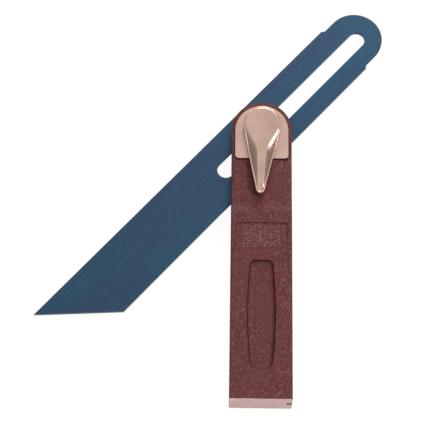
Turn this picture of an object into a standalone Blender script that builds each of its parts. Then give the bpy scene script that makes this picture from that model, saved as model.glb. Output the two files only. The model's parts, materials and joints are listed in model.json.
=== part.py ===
"""Sliding bevel: a slotted steel blade swings and slides in a moulded stock, locked by a teardrop lever.

The tool lies on its back. X runs across the stock, Y along it with the head at +Y, Z up through the lever.
All pieces hang from an empty on the bolt's axis. The origin is on the stock's back, below the ramp.
"""
import math

import bmesh
import bpy
from mathutils import Matrix, Vector

# Fits, in metres
FIT_GAP = 0.0003
SLOT_GAP = 0.0002
CUT_OVERRUN = 0.0015
SMOOTH_ANGLE = math.radians(32)

# Stock: a moulded grip with a thinner head and a square-cut end
STOCK_WIDTH = 0.0262
STOCK_THICKNESS = 0.0160
BOLT_TO_STOCK_END = 0.1220
BOLT_TO_ORIGIN = 0.0500
HEAD_ARC_DROP = 0.0002
HEAD_RELIEF = 0.0012
BOLT_TO_RAMP = 0.0342
RAMP_LENGTH = 0.0051
STOCK_EDGE_RADIUS = 0.0008
KERF_END_WALL = 0.0140
KERF_CORNER_RADIUS = 0.0006
KERF_RUNOUT_WIDTH = 0.0024

# Finger groove in both faces of the stock
BOLT_TO_GROOVE = 0.0616
GROOVE_LENGTH = 0.0476
GROOVE_WIDTH = 0.0120
GROOVE_SIDE_RADIUS = 0.1900
GROOVE_WIDEST_SHARE = 0.48
GROOVE_DEPTH = 0.0017
GROOVE_LIP = 0.0002
GROOVE_COVE_WIDTH = 0.0015
GROOVE_TOP_CORNER = 0.0022
GROOVE_END_CORNER = 0.0032

# Label recess in the front face
BOLT_TO_LABEL = 0.0445
LABEL_LENGTH = 0.0121
LABEL_WIDTH = 0.0222
LABEL_CORNER = 0.0009
LABEL_DEPTH = 0.0005

# Blade
BLADE_LENGTH = 0.2034
BLADE_WIDTH = 0.0268
BLADE_THICKNESS = 0.0015
BLADE_CUT_ANGLE = math.radians(45)
BLADE_REST_ANGLE = math.radians(-42.1)
TANG_WIDTH = 0.0247
TANG_LENGTH = 0.0198
SHOULDER_RADIUS = 0.0009
SLOT_WIDTH = 0.0075
SLOT_SPAN = 0.0869
SLOT_OFFSET = 0.0010
BOLT_TO_SLOT_FOOT = 0.0232

# Slide block that the blade's slot runs on
BLOCK_LENGTH = 0.0090

# Clamp bolt
BOLT_RADIUS = 0.0025
BOLT_HEAD_RADIUS = 0.0055
BOLT_HEAD_HEIGHT = 0.0018
BOLT_HEAD_CROWN = 0.0006
BOLT_HEAD_CLEARANCE = 0.0006
BOLT_NECK_WIDTH = 0.0064
BOLT_NECK_HEIGHT = 0.0024
BOLT_END_CHAMFER = 0.0004

# Washer under the bolt's head, let into the back of the stock
BACK_WASHER_RADIUS = 0.0080
BACK_WASHER_THICKNESS = 0.0010
BACK_WASHER_CHAMFER = 0.0002

# Front plate, let into the head
PLATE_ARC_RADIUS = 0.0116
PLATE_ARC_DROP = 0.0010
BOLT_TO_PLATE_END = 0.0144
PLATE_THICKNESS = 0.0012
PLATE_PROUD = 0.0008
PLATE_CORNER = 0.0016
PLATE_CHAMFER = 0.0004
SPIGOT_RADIUS = 0.0010
SPIGOT_LENGTH = 0.0025
SPIGOT_INSET = 0.0031

# Lever: a beaded teardrop whose dished head narrows into a ridge between two sloping flanks
LEVER_REST_ANGLE = math.radians(-1.3)
LEVER_HEAD_RADIUS = 0.0083
LEVER_TIP_RADIUS = 0.0019
LEVER_SPAN = 0.0303
LEVER_HEIGHT = 0.0046
LEVER_TAIL_DROP = 0.0006
LEVER_FLANK_SLOPE = math.radians(38)
LEVER_BEAD_RADIUS = 0.0003
LEVER_BEAD_SWEEP = math.radians(150)
LEVER_HEAD_RIM = 0.0009
LEVER_DISH_DEPTH = 0.0004
RIDGE_ROOT_WIDTH = 0.0054
RIDGE_TIP_WIDTH = 0.0024
RIDGE_CROWN = 0.0002
FLANK_HOLLOW_SHARE = 1.25
RIDGE_BLEND_LENGTH = 0.0150
TAIL_HOLLOW_DEPTH = 0.0013
TAIL_HOLLOW_WALL = 0.0011

# Spring washer and threaded insert inside the lever's head
WASHER_OUTER_RADIUS = 0.0060
WASHER_INNER_RADIUS = 0.0034
WASHER_THICKNESS = 0.0004
WASHER_WAVE = 0.00015
WASHER_WAVES = 3
INSERT_WIDTH = 0.0090
INSERT_HEIGHT = 0.0019

# Numbers of steps
HEAD_STEPS = 18
RAMP_STEPS = 8
ROUND_STEPS = 4
CORNER_STEPS = 5
SIDE_STEPS = 12
SHAFT_SEGMENTS = 40
LEVER_HEAD_STEPS = 24
LEVER_TAIL_STEPS = 16
LEVER_TIP_STEPS = 5
LEVER_BEAD_STEPS = 4
LEVER_FLANK_STEPS = 5
LEVER_FACE_STEPS = 6
WAVE_SEGMENTS = 48

# Sizes and places that follow from the ones above
HALF_WIDTH = STOCK_WIDTH / 2
MID_PLANE = STOCK_THICKNESS / 2
KERF_THICKNESS = BLADE_THICKNESS + 2 * FIT_GAP
KERF_FOOT = -BOLT_TO_STOCK_END + KERF_END_WALL
BORE_RADIUS = BOLT_RADIUS + FIT_GAP
HEAD_FACE = STOCK_THICKNESS - HEAD_RELIEF
PLATE_TOP = HEAD_FACE + PLATE_PROUD
PLATE_FOOT = PLATE_TOP - PLATE_THICKNESS
LEVER_FOOT = PLATE_TOP + FIT_GAP
BOLT_HEAD_FOOT = BOLT_HEAD_CLEARANCE
BOLT_HEAD_TOP = BOLT_HEAD_FOOT + BOLT_HEAD_HEIGHT
BACK_WASHER_FOOT = BOLT_HEAD_TOP + FIT_GAP
BACK_RECESS_FLOOR = BACK_WASHER_FOOT + BACK_WASHER_THICKNESS + FIT_GAP
NECK_TOP = BOLT_HEAD_TOP + BOLT_NECK_HEIGHT
SPRING_HEIGHT = WASHER_THICKNESS + 2 * WASHER_WAVE
SPRING_POCKET_DEPTH = SPRING_HEIGHT + FIT_GAP
INSERT_FOOT = LEVER_FOOT + SPRING_POCKET_DEPTH
BOLT_END = INSERT_FOOT + INSERT_HEIGHT


def material(name, colour, roughness, metallic):
    """Principled material in a plain colour."""
    made = bpy.data.materials.new(name)
    made.use_nodes = True
    shader = made.node_tree.nodes["Principled BSDF"]
    shader.inputs["Base Color"].default_value = (*colour, 1.0)
    shader.inputs["Roughness"].default_value = roughness
    shader.inputs["Metallic"].default_value = metallic
    made.diffuse_color = (*colour, 1.0)
    return made


def arc(centre, radius, start, stop, steps):
    """Points on an arc from one angle to another, both ends included."""
    angles = [math.radians(start + (stop - start) * step / steps) for step in range(steps + 1)]
    return [Vector((centre[0] + radius * math.cos(a), centre[1] + radius * math.sin(a))) for a in angles]


def rounded(corners):
    """Closed outline through corners given as x, y and radius, each corner turned into an arc."""
    points = []
    for index, (x, y, radius) in enumerate(corners):
        corner = Vector((x, y))
        if radius == 0:
            points.append(corner)
            continue
        back = (Vector(corners[index - 1][:2]) - corner).normalized()
        ahead = (Vector(corners[(index + 1) % len(corners)][:2]) - corner).normalized()
        half = back.angle(ahead) / 2
        centre = corner + (back + ahead).normalized() * radius / math.sin(half)
        start = corner + back * radius / math.tan(half) - centre
        stop = corner + ahead * radius / math.tan(half) - centre
        first = math.degrees(math.atan2(start.y, start.x))
        sweep = (math.degrees(math.atan2(stop.y, stop.x)) - first + 180) % 360 - 180
        points += arc(centre, radius, first, first + sweep, CORNER_STEPS)
    return points


def inset(outline, distance):
    """Counter-clockwise outline moved inwards by a distance."""
    moved = []
    for index, point in enumerate(outline):
        before = (point - outline[index - 1]).normalized()
        after = (outline[(index + 1) % len(outline)] - point).normalized()
        inward = Vector((-before.y, before.x))
        middle = (inward + Vector((-after.y, after.x))).normalized()
        moved.append(point + middle * distance / middle.dot(inward))
    return moved


def mirrored(left):
    """Whole outline from its left half, which starts at the top point on the middle line."""
    return left + [Vector((-point.x, point.y)) for point in reversed(left[1:])]


def raised(outline, height):
    """Outline lifted to a height as 3D points."""
    return [Vector((point.x, point.y, height)) for point in outline]


def skin(bm, loops):
    """Side faces between closed loops of equal length, the lowest loop first."""
    rows = [[bm.verts.new(point) for point in loop] for loop in loops]
    for low, high in zip(rows, rows[1:]):
        for index in range(len(low)):
            after = (index + 1) % len(low)
            bm.faces.new((low[index], low[after], high[after], high[index]))
    return rows


def strip_cap(bm, row):
    """Cap of strips across a mirrored loop, for a face that bends along Y."""
    count = len(row)
    for index in range(count // 2):
        face = [row[index], row[index + 1], row[count - index - 1], row[-index]]
        bm.faces.new([vert for place, vert in enumerate(face) if vert not in face[:place]])


def stacked(loops):
    """Closed solid through loops, with a flat cap on the lowest and the highest."""
    bm = bmesh.new()
    rows = skin(bm, loops)
    bm.faces.new(list(reversed(rows[0])))
    bm.faces.new(rows[-1])
    return bm


def prism(outline, low, high):
    """Outline pushed straight up from one height to another."""
    return stacked([raised(outline, low), raised(outline, high)])


def turned(profile, segments=SHAFT_SEGMENTS):
    """Solid of revolution about Z from radius and height pairs that run up its outer side."""
    bm = bmesh.new()
    verts = [bm.verts.new((radius, 0, height)) for radius, height in profile]
    edges = [bm.edges.new(pair) for pair in zip(verts, verts[1:])]
    bmesh.ops.spin(bm, geom=verts + edges, axis=(0, 0, 1), cent=(0, 0, 0),
                   angle=math.tau, steps=segments, use_merge=True)
    rim = [edge for edge in bm.edges if edge.is_boundary]
    bmesh.ops.holes_fill(bm, edges=rim, sides=segments)
    bmesh.ops.recalc_face_normals(bm, faces=bm.faces)
    return bm


def add_object(name, bm, finish, axis, height=0.0, turn=0.0):
    """Named object on the bolt's axis at a height, turned about that axis."""
    mesh = bpy.data.meshes.new(name)
    bm.to_mesh(mesh)
    bm.free()
    mesh.shade_smooth()
    mesh.set_sharp_from_angle(angle=SMOOTH_ANGLE)
    mesh.materials.append(finish)
    made = bpy.data.objects.new(name, mesh)
    bpy.context.scene.collection.objects.link(made)
    made.parent = axis
    made.location.z = height
    made.rotation_euler.z = turn
    return made


def cut(target, name, bm, place=None, operation="DIFFERENCE"):
    """Boolean on a target by a hidden cutter, placed in the target's own space."""
    mesh = bpy.data.meshes.new(name)
    bm.to_mesh(mesh)
    bm.free()
    tool = bpy.data.objects.new(name, mesh)
    bpy.context.scene.collection.objects.link(tool)
    tool.parent = target
    if place:
        tool.matrix_local = place
    tool.hide_render = True
    tool.display_type = "WIRE"
    modifier = target.modifiers.new(name, "BOOLEAN")
    modifier.operation = operation
    modifier.solver = "EXACT"
    modifier.object = tool


def front_height(y):
    """Height of the stock's front face at a place along Y: low head, concave ramp, high grip."""
    climb = min(max(-BOLT_TO_RAMP - y, 0), RAMP_LENGTH)
    ramp_radius = (RAMP_LENGTH ** 2 + HEAD_RELIEF ** 2) / (2 * HEAD_RELIEF)
    return HEAD_FACE + ramp_radius - math.sqrt(ramp_radius ** 2 - climb ** 2)


def stock_outline():
    """Plan of the stock before its end is cut: round head and parallel sides."""
    left = arc((0, -HEAD_ARC_DROP), HALF_WIDTH, 90, 180, HEAD_STEPS)
    for step in range(RAMP_STEPS + 1):
        left.append(Vector((-HALF_WIDTH, -BOLT_TO_RAMP - RAMP_LENGTH * step / RAMP_STEPS)))
    left.append(Vector((-HALF_WIDTH, -BOLT_TO_STOCK_END - STOCK_EDGE_RADIUS - CUT_OVERRUN)))
    return mirrored(left)


def stock_body():
    """Stock before its recesses: long edges rounded, flat back, lower head in front, crisp square end."""
    outline = stock_outline()
    front = []
    back = []
    for step in range(ROUND_STEPS + 1):
        angle = math.pi / 2 * step / ROUND_STEPS
        loop = inset(outline, STOCK_EDGE_RADIUS * (1 - math.cos(angle)))
        drop = STOCK_EDGE_RADIUS * (1 - math.sin(angle))
        front.append([(point.x, point.y, front_height(point.y) - drop) for point in loop])
        back.insert(0, raised(loop, drop))
    bm = bmesh.new()
    rows = skin(bm, back + front)
    bm.faces.new(list(reversed(rows[0])))
    strip_cap(bm, rows[-1])
    whole = bm.verts[:] + bm.edges[:] + bm.faces[:]
    sawn = bmesh.ops.bisect_plane(bm, geom=whole, plane_co=(0, -BOLT_TO_STOCK_END, 0), plane_no=(0, -1, 0),
                                  clear_outer=True)
    end = [item for item in sawn["geom_cut"] if isinstance(item, bmesh.types.BMEdge)]
    bmesh.ops.holes_fill(bm, edges=end, sides=len(end))
    bmesh.ops.recalc_face_normals(bm, faces=bm.faces)
    return bm


def kerf_cutter():
    """Blade slot through both long edges, with a run-out at the end's right-hand corner."""
    side = HALF_WIDTH + CUT_OVERRUN
    top = HALF_WIDTH + CUT_OVERRUN
    runout = HALF_WIDTH - KERF_RUNOUT_WIDTH
    low = -BOLT_TO_STOCK_END - CUT_OVERRUN
    outline = rounded([(-side, top, 0), (-side, KERF_FOOT, 0), (runout, KERF_FOOT, KERF_CORNER_RADIUS),
                       (runout, low, 0), (side, low, 0), (side, top, 0)])
    return prism(outline, MID_PLANE - KERF_THICKNESS / 2, MID_PLANE + KERF_THICKNESS / 2)


def groove_outline():
    """Barrel-shaped plan of the finger groove, its sides long arcs and its corners rounded."""
    widest = -BOLT_TO_GROOVE - GROOVE_LENGTH * GROOVE_WIDEST_SHARE
    end = -BOLT_TO_GROOVE - GROOVE_LENGTH

    top_centre = -BOLT_TO_GROOVE - GROOVE_TOP_CORNER
    end_centre = end + GROOVE_END_CORNER

    def side(y):
        return GROOVE_WIDTH / 2 - GROOVE_SIDE_RADIUS + math.sqrt(GROOVE_SIDE_RADIUS ** 2 - (y - widest) ** 2)

    def lean(y):
        return math.degrees(math.asin((y - widest) / GROOVE_SIDE_RADIUS))

    left = [Vector((0, -BOLT_TO_GROOVE))]
    left += arc((-side(top_centre) + GROOVE_TOP_CORNER, top_centre),
                GROOVE_TOP_CORNER, 90, 180 - lean(top_centre), CORNER_STEPS)
    for step in range(1, SIDE_STEPS):
        y = top_centre + (end_centre - top_centre) * step / SIDE_STEPS
        left.append(Vector((-side(y), y)))
    left += arc((-side(end_centre) + GROOVE_END_CORNER, end_centre),
                GROOVE_END_CORNER, 180 - lean(end_centre), 270, CORNER_STEPS)
    return mirrored(left)


def groove_cutter():
    """Finger groove above a face at zero height: straight lip, coved wall and flat floor."""
    outline = groove_outline()
    loops = []
    for step in range(ROUND_STEPS + 1):
        angle = math.pi / 2 * step / ROUND_STEPS
        shrink = GROOVE_COVE_WIDTH * (1 - math.sin(angle))
        sink = GROOVE_LIP + (GROOVE_DEPTH - GROOVE_LIP) * math.cos(angle)
        loops.append(raised(inset(outline, shrink), -sink))
    loops.append(raised(outline, CUT_OVERRUN))
    return stacked(loops)


def plate_outline(margin=0.0):
    """Arched shield of the front plate, grown by a margin on every side."""
    half = PLATE_ARC_RADIUS + margin
    foot = -BOLT_TO_PLATE_END - margin
    corner = PLATE_CORNER + margin
    left = arc((0, -PLATE_ARC_DROP), half, 90, 180, HEAD_STEPS)
    left += arc((-half + corner, foot + corner), corner, 180, 270, CORNER_STEPS)
    return mirrored(left)


def spigot_places():
    """Centres of the two pins cast on the back of the front plate."""
    x = PLATE_ARC_RADIUS - SPIGOT_INSET
    y = -BOLT_TO_PLATE_END + SPIGOT_INSET
    return [(-x, y), (x, y)]


def square(width):
    """Square outline centred on the bolt's axis."""
    half = width / 2
    return rounded([(-half, half, 0), (-half, -half, 0), (half, -half, 0), (half, half, 0)])


def make_stock(axis, finish):
    """Moulded stock with its blade slot, bolt hole, recesses and finger grooves."""
    stock = add_object("stock", stock_body(), finish, axis)
    cut(stock, "kerf_cutter", kerf_cutter())
    front = Matrix.Translation((0, 0, STOCK_THICKNESS))
    cut(stock, "front_groove_cutter", groove_cutter(), front)
    cut(stock, "back_groove_cutter", groove_cutter(), Matrix.Rotation(math.pi, 4, "Y"))
    label_half = LABEL_WIDTH / 2
    label_end = -BOLT_TO_LABEL - LABEL_LENGTH
    label = rounded([(-label_half, -BOLT_TO_LABEL, LABEL_CORNER), (-label_half, label_end, LABEL_CORNER),
                     (label_half, label_end, LABEL_CORNER), (label_half, -BOLT_TO_LABEL, LABEL_CORNER)])
    cut(stock, "label_cutter", prism(label, -LABEL_DEPTH, CUT_OVERRUN), front)
    above = HEAD_FACE + CUT_OVERRUN
    cut(stock, "plate_cutter", prism(plate_outline(FIT_GAP), PLATE_FOOT - FIT_GAP, above))
    depth = SPIGOT_LENGTH + FIT_GAP
    for side, (x, y) in zip(("left", "right"), spigot_places()):
        hole = turned([(0, -depth), (SPIGOT_RADIUS + FIT_GAP, -depth), (SPIGOT_RADIUS + FIT_GAP, CUT_OVERRUN),
                       (0, CUT_OVERRUN)], SHAFT_SEGMENTS // 2)
        cut(stock, side + "_spigot_cutter", hole, Matrix.Translation((x, y, PLATE_FOOT - FIT_GAP)))
    recess = BACK_WASHER_RADIUS + FIT_GAP
    cut(stock, "back_recess_cutter", turned([(0, -CUT_OVERRUN), (recess, -CUT_OVERRUN),
                                             (recess, BACK_RECESS_FLOOR), (0, BACK_RECESS_FLOOR)]))
    neck = square(BOLT_NECK_WIDTH + 2 * FIT_GAP)
    cut(stock, "neck_cutter", prism(neck, BACK_WASHER_FOOT, NECK_TOP + FIT_GAP))
    cut(stock, "bore_cutter", turned([(0, -CUT_OVERRUN), (BORE_RADIUS, -CUT_OVERRUN), (BORE_RADIUS, above),
                                      (0, above)]))


def blade_outline():
    """Plan of the blade with the bolt at zero and its slot along Y: cut end, shoulders and round tang."""
    left = -BLADE_WIDTH / 2 - SLOT_OFFSET
    right = BLADE_WIDTH / 2 - SLOT_OFFSET
    tang = TANG_WIDTH / 2
    step = (BLADE_WIDTH - TANG_WIDTH) / 2
    top = slot_head() + tang
    shoulder = top - TANG_LENGTH
    tip = top - BLADE_LENGTH
    heel = tip + BLADE_WIDTH / math.tan(BLADE_CUT_ANGLE)
    sides = rounded([(right, heel, 0), (right, shoulder, SHOULDER_RADIUS),
                     (right - step, shoulder + step, SHOULDER_RADIUS), (right - step, slot_head(), 0)])
    end = arc((-SLOT_OFFSET, slot_head()), tang, 0, 180, 2 * HEAD_STEPS)
    others = rounded([(left + step, slot_head(), 0), (left + step, shoulder + step, SHOULDER_RADIUS),
                      (left, shoulder, SHOULDER_RADIUS), (left, tip, 0)])
    return sides[:-1] + end + others[1:]


def slot_head():
    """Distance from the bolt to the centre of the slot's upper end."""
    return SLOT_SPAN - BOLT_TO_SLOT_FOOT


def stadium(half_span, radius):
    """Outline with parallel sides along Y and round ends."""
    return (arc((0, half_span), radius, 0, 180, HEAD_STEPS)
            + arc((0, -half_span), radius, 180, 360, HEAD_STEPS))


def make_blade(axis, finish):
    """Slotted steel blade on the stock's middle plane, open at its rest angle."""
    half = BLADE_THICKNESS / 2
    body = prism(blade_outline(), -half, half)
    blade = add_object("blade", body, finish, axis, MID_PLANE, BLADE_REST_ANGLE)
    slot = prism(stadium(SLOT_SPAN / 2, SLOT_WIDTH / 2), -half - CUT_OVERRUN, half + CUT_OVERRUN)
    cut(blade, "slot_cutter", slot, Matrix.Translation((0, slot_head() - SLOT_SPAN / 2, 0)))


def make_slide_block(axis, finish):
    """Flat block round the bolt whose two flats guide the blade's slot."""
    radius = SLOT_WIDTH / 2 - SLOT_GAP
    half = BLADE_THICKNESS / 2
    outline = stadium(BLOCK_LENGTH / 2 - radius, radius)
    block = add_object("slide_block", prism(outline, -half, half), finish, axis, MID_PLANE, BLADE_REST_ANGLE)
    bore = turned([(0, -half - CUT_OVERRUN), (BORE_RADIUS, -half - CUT_OVERRUN),
                   (BORE_RADIUS, half + CUT_OVERRUN), (0, half + CUT_OVERRUN)])
    cut(block, "block_bore_cutter", bore)


def make_bolt(axis, finish):
    """Clamp bolt with a crowned head at the back and a square neck that keeps it from turning."""
    crown = BOLT_HEAD_FOOT + BOLT_HEAD_CROWN
    chamfer = BOLT_END - BOLT_END_CHAMFER
    bolt = add_object("clamp_bolt", turned([
        (0, BOLT_HEAD_FOOT), (BOLT_HEAD_RADIUS - BOLT_HEAD_CROWN, BOLT_HEAD_FOOT), (BOLT_HEAD_RADIUS, crown),
        (BOLT_HEAD_RADIUS, BOLT_HEAD_TOP), (BOLT_RADIUS, BOLT_HEAD_TOP), (BOLT_RADIUS, chamfer),
        (BOLT_RADIUS - BOLT_END_CHAMFER, BOLT_END), (0, BOLT_END)]), finish, axis)
    neck = prism(square(BOLT_NECK_WIDTH), BOLT_HEAD_TOP - BOLT_HEAD_CROWN, NECK_TOP)
    cut(bolt, "neck_join", neck, operation="UNION")


def make_back_washer(axis, finish):
    """Square-holed washer between the bolt's head and the back of the stock."""
    high = BACK_WASHER_THICKNESS
    low_edge = BACK_WASHER_RADIUS - BACK_WASHER_CHAMFER
    washer = add_object("back_washer", turned([
        (0, 0), (low_edge, 0), (BACK_WASHER_RADIUS, BACK_WASHER_CHAMFER),
        (BACK_WASHER_RADIUS, high), (0, high)]), finish, axis, BACK_WASHER_FOOT)
    hole = prism(square(BOLT_NECK_WIDTH + 2 * FIT_GAP), -CUT_OVERRUN, high + CUT_OVERRUN)
    cut(washer, "washer_hole_cutter", hole)


def make_front_plate(axis, finish):
    """Arched die-cast plate with a chamfered rim, a bolt hole and two cast spigots."""
    outline = plate_outline()
    top = PLATE_THICKNESS
    rim = raised(inset(outline, PLATE_CHAMFER), top)
    body = stacked([raised(outline, 0), raised(outline, top - PLATE_CHAMFER), rim])
    plate = add_object("front_plate", body, finish, axis, PLATE_FOOT)
    for side, (x, y) in zip(("left", "right"), spigot_places()):
        pin = turned([(0, -SPIGOT_LENGTH), (SPIGOT_RADIUS, -SPIGOT_LENGTH), (SPIGOT_RADIUS, top / 2),
                      (0, top / 2)], SHAFT_SEGMENTS // 2)
        cut(plate, side + "_spigot_join", pin, Matrix.Translation((x, y, 0)), "UNION")
    bore = turned([(0, -CUT_OVERRUN), (BORE_RADIUS, -CUT_OVERRUN), (BORE_RADIUS, top + CUT_OVERRUN),
                   (0, top + CUT_OVERRUN)])
    cut(plate, "plate_bore_cutter", bore)


def ease(value):
    """Smooth climb from 0 to 1 as the value goes from 0 to 1."""
    value = min(max(value, 0), 1)
    return value * value * (3 - 2 * value)


def lever_outlines():
    """Left halves of the lever's outer outline and of its top face, point for point."""
    taper = math.degrees(math.asin((LEVER_HEAD_RADIUS - LEVER_TIP_RADIUS) / LEVER_SPAN))
    face_radius = LEVER_HEAD_RADIUS - LEVER_HEAD_RIM
    tip = (0, -LEVER_SPAN)

    def face_width(y):
        along = min(max(-y / LEVER_SPAN, 0), 1)
        ridge = RIDGE_ROOT_WIDTH / 2 + (RIDGE_TIP_WIDTH - RIDGE_ROOT_WIDTH) / 2 * along
        return ridge + (face_radius - ridge) * ease(1 + y / RIDGE_BLEND_LENGTH)

    outer = arc((0, 0), LEVER_HEAD_RADIUS, 90, 180, LEVER_HEAD_STEPS)
    face = arc((0, 0), face_radius, 90, 180, LEVER_HEAD_STEPS)
    start = arc((0, 0), LEVER_HEAD_RADIUS, 180, 180 + taper, 1)[1]
    end = arc(tip, LEVER_TIP_RADIUS, 180 + taper, 270, LEVER_TIP_STEPS)
    for step in range(LEVER_TAIL_STEPS):
        point = start.lerp(end[0], step / LEVER_TAIL_STEPS)
        outer.append(point)
        face.append(Vector((-face_width(point.y), point.y)))
    outer += end
    face += arc(tip, RIDGE_TIP_WIDTH / 2, 180 + taper, 270, LEVER_TIP_STEPS)
    return outer, face


def lever_top(y):
    """Height of the lever's top face, and of the beads' inner feet at the head, at a place along Y."""
    along = min(max(-y / LEVER_SPAN, 0), 1)
    bead_drop = LEVER_BEAD_RADIUS * (1 - math.sin(LEVER_BEAD_SWEEP))
    return LEVER_HEIGHT - bead_drop - LEVER_TAIL_DROP * along


def lever_section(edge, inner):
    """Points up one side of the lever: upright rim, half-round bead, and the flank up to the top face."""
    inward = inner - edge
    width = inward.length
    inward.normalize()
    top = lever_top(edge.y)
    foot = top - math.tan(LEVER_FLANK_SLOPE) * max(width - LEVER_HEAD_RIM, 0)
    crest = foot + LEVER_BEAD_RADIUS * (1 - math.sin(LEVER_BEAD_SWEEP))
    points = [(edge.x, edge.y, 0)]
    for step in range(LEVER_BEAD_STEPS + 1):
        angle = LEVER_BEAD_SWEEP * step / LEVER_BEAD_STEPS
        place = edge + inward * LEVER_BEAD_RADIUS * (1 - math.cos(angle))
        points.append((place.x, place.y, crest - LEVER_BEAD_RADIUS * (1 - math.sin(angle))))
    for step in range(1, LEVER_FLANK_STEPS + 1):
        share = step / LEVER_FLANK_STEPS
        flank = place.lerp(inner, share)
        points.append((flank.x, flank.y, foot + (top - foot) * share ** FLANK_HOLLOW_SHARE))
    return points


def lever_body():
    """Teardrop lever before its pockets, lofted from the sections up its left side and their mirrors."""
    outer, face = lever_outlines()
    sections = [lever_section(edge, inner) for edge, inner in zip(outer, face)]
    mirror = [[(-x, y, z) for x, y, z in section] for section in reversed(sections[1:-1])]
    bm = bmesh.new()
    rows = skin(bm, list(zip(*(sections + mirror))))
    bm.faces.new(list(reversed(rows[0])))
    dished_face(bm, rows[-1], len(outer))
    return bm


def dished_face(bm, row, half_count):
    """Top face across the lever, sunk in the middle of the head and crowned along the ridge."""
    lines = []
    for index in range(half_count):
        left = row[index]
        right = row[-index] if index else row[0]
        if index in (0, half_count - 1):
            lines.append([left])
            continue
        head = ease(1 + left.co.y / RIDGE_BLEND_LENGTH)
        dish = LEVER_DISH_DEPTH * (1 - max(left.co.y / LEVER_HEAD_RADIUS, 0) ** 2)
        depth = dish * head - RIDGE_CROWN * (1 - head)
        line = [left]
        for step in range(1, LEVER_FACE_STEPS):
            share = step / LEVER_FACE_STEPS
            place = left.co.lerp(right.co, share)
            place.z -= depth * (1 - (2 * share - 1) ** 2)
            line.append(bm.verts.new(place))
        lines.append(line + [right])
    for upper, lower in zip(lines, lines[1:]):
        for step in range(LEVER_FACE_STEPS):
            corners = [upper[min(step, len(upper) - 1)], lower[min(step, len(lower) - 1)],
                       lower[min(step + 1, len(lower) - 1)], upper[min(step + 1, len(upper) - 1)]]
            bm.faces.new([vert for place, vert in enumerate(corners) if vert not in corners[:place]])


def hexagon(width):
    """Hexagon outline by its width across flats."""
    return arc((0, 0), width / math.sqrt(3), 0, 360, 6)[:-1]


def make_lever(axis, finish):
    """Die-cast lever, hollow under its tail, with pockets for the spring washer and the insert."""
    lever = add_object("lever", lever_body(), finish, axis, LEVER_FOOT, LEVER_REST_ANGLE)
    radius = WASHER_OUTER_RADIUS + FIT_GAP
    cut(lever, "spring_pocket_cutter", turned([(0, -CUT_OVERRUN), (radius, -CUT_OVERRUN),
                                               (radius, SPRING_POCKET_DEPTH), (0, SPRING_POCKET_DEPTH)]))
    insert = hexagon(INSERT_WIDTH + 2 * FIT_GAP)
    pocket_roof = SPRING_POCKET_DEPTH + INSERT_HEIGHT + FIT_GAP
    cut(lever, "insert_pocket_cutter", prism(insert, -CUT_OVERRUN, pocket_roof))
    taper = (LEVER_HEAD_RADIUS - LEVER_TIP_RADIUS) / LEVER_SPAN

    def hollow_width(y):
        return LEVER_HEAD_RADIUS + y * taper - TAIL_HOLLOW_WALL

    start = -LEVER_HEAD_RADIUS - TAIL_HOLLOW_WALL
    stop = -LEVER_SPAN + LEVER_TIP_RADIUS
    hollow = rounded([(-hollow_width(start), start, TAIL_HOLLOW_WALL), (-hollow_width(stop), stop, 0),
                      (hollow_width(stop), stop, 0), (hollow_width(start), start, TAIL_HOLLOW_WALL)])
    cut(lever, "tail_hollow_cutter", prism(hollow, -CUT_OVERRUN, TAIL_HOLLOW_DEPTH))


def make_insert(axis, finish):
    """Hexagonal steel insert that carries the lever's thread."""
    body = prism(hexagon(INSERT_WIDTH), 0, INSERT_HEIGHT)
    insert = add_object("lever_insert", body, finish, axis, INSERT_FOOT, LEVER_REST_ANGLE)
    bore = turned([(0, -CUT_OVERRUN), (BORE_RADIUS, -CUT_OVERRUN), (BORE_RADIUS, INSERT_HEIGHT + CUT_OVERRUN),
                   (0, INSERT_HEIGHT + CUT_OVERRUN)])
    cut(insert, "insert_bore_cutter", bore)


def make_spring_washer(axis, finish):
    """Wave washer that keeps the lever's drag, between the front plate and the lever."""
    bm = bmesh.new()
    rows = []
    for segment in range(WAVE_SEGMENTS):
        angle = math.tau * segment / WAVE_SEGMENTS
        lift = WASHER_WAVE * (1 + math.sin(WASHER_WAVES * angle))
        corners = [(WASHER_INNER_RADIUS, 0), (WASHER_OUTER_RADIUS, 0),
                   (WASHER_OUTER_RADIUS, WASHER_THICKNESS), (WASHER_INNER_RADIUS, WASHER_THICKNESS)]
        rows.append([bm.verts.new((radius * math.cos(angle), radius * math.sin(angle), lift + height))
                     for radius, height in corners])
    for segment, row in enumerate(rows):
        after = rows[(segment + 1) % WAVE_SEGMENTS]
        for corner in range(len(row)):
            bm.faces.new((row[corner - 1], row[corner], after[corner], after[corner - 1]))
    bmesh.ops.recalc_face_normals(bm, faces=bm.faces)
    add_object("spring_washer", bm, finish, axis, LEVER_FOOT)


def main():
    """Clear the scene, then make every piece on the bolt's axis."""
    for old in list(bpy.data.objects):
        bpy.data.objects.remove(old, do_unlink=True)
    axis = bpy.data.objects.new("bolt_axis", None)
    axis.location.y = BOLT_TO_ORIGIN
    bpy.context.scene.collection.objects.link(axis)

    plastic = material("wine_red_plastic", (0.150, 0.046, 0.047), 0.45, 0.0)
    blued = material("blued_spring_steel", (0.040, 0.092, 0.170), 0.38, 0.85)
    zinc = material("satin_zinc", (0.560, 0.370, 0.300), 0.32, 0.9)
    steel = material("plain_steel", (0.480, 0.480, 0.490), 0.35, 1.0)

    make_stock(axis, plastic)
    make_blade(axis, blued)
    make_slide_block(axis, steel)
    make_bolt(axis, steel)
    make_back_washer(axis, steel)
    make_front_plate(axis, zinc)
    make_lever(axis, zinc)
    make_insert(axis, steel)
    make_spring_washer(axis, steel)


main()
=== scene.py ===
"""Sliding bevel: blued blade, moulded wine-red stock and teardrop lever, set out as in its photograph."""
import json
import math

import bmesh
import bpy
from bpy.props import FloatProperty, FloatVectorProperty, IntProperty, PointerProperty
from mathutils import Matrix, Vector


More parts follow.
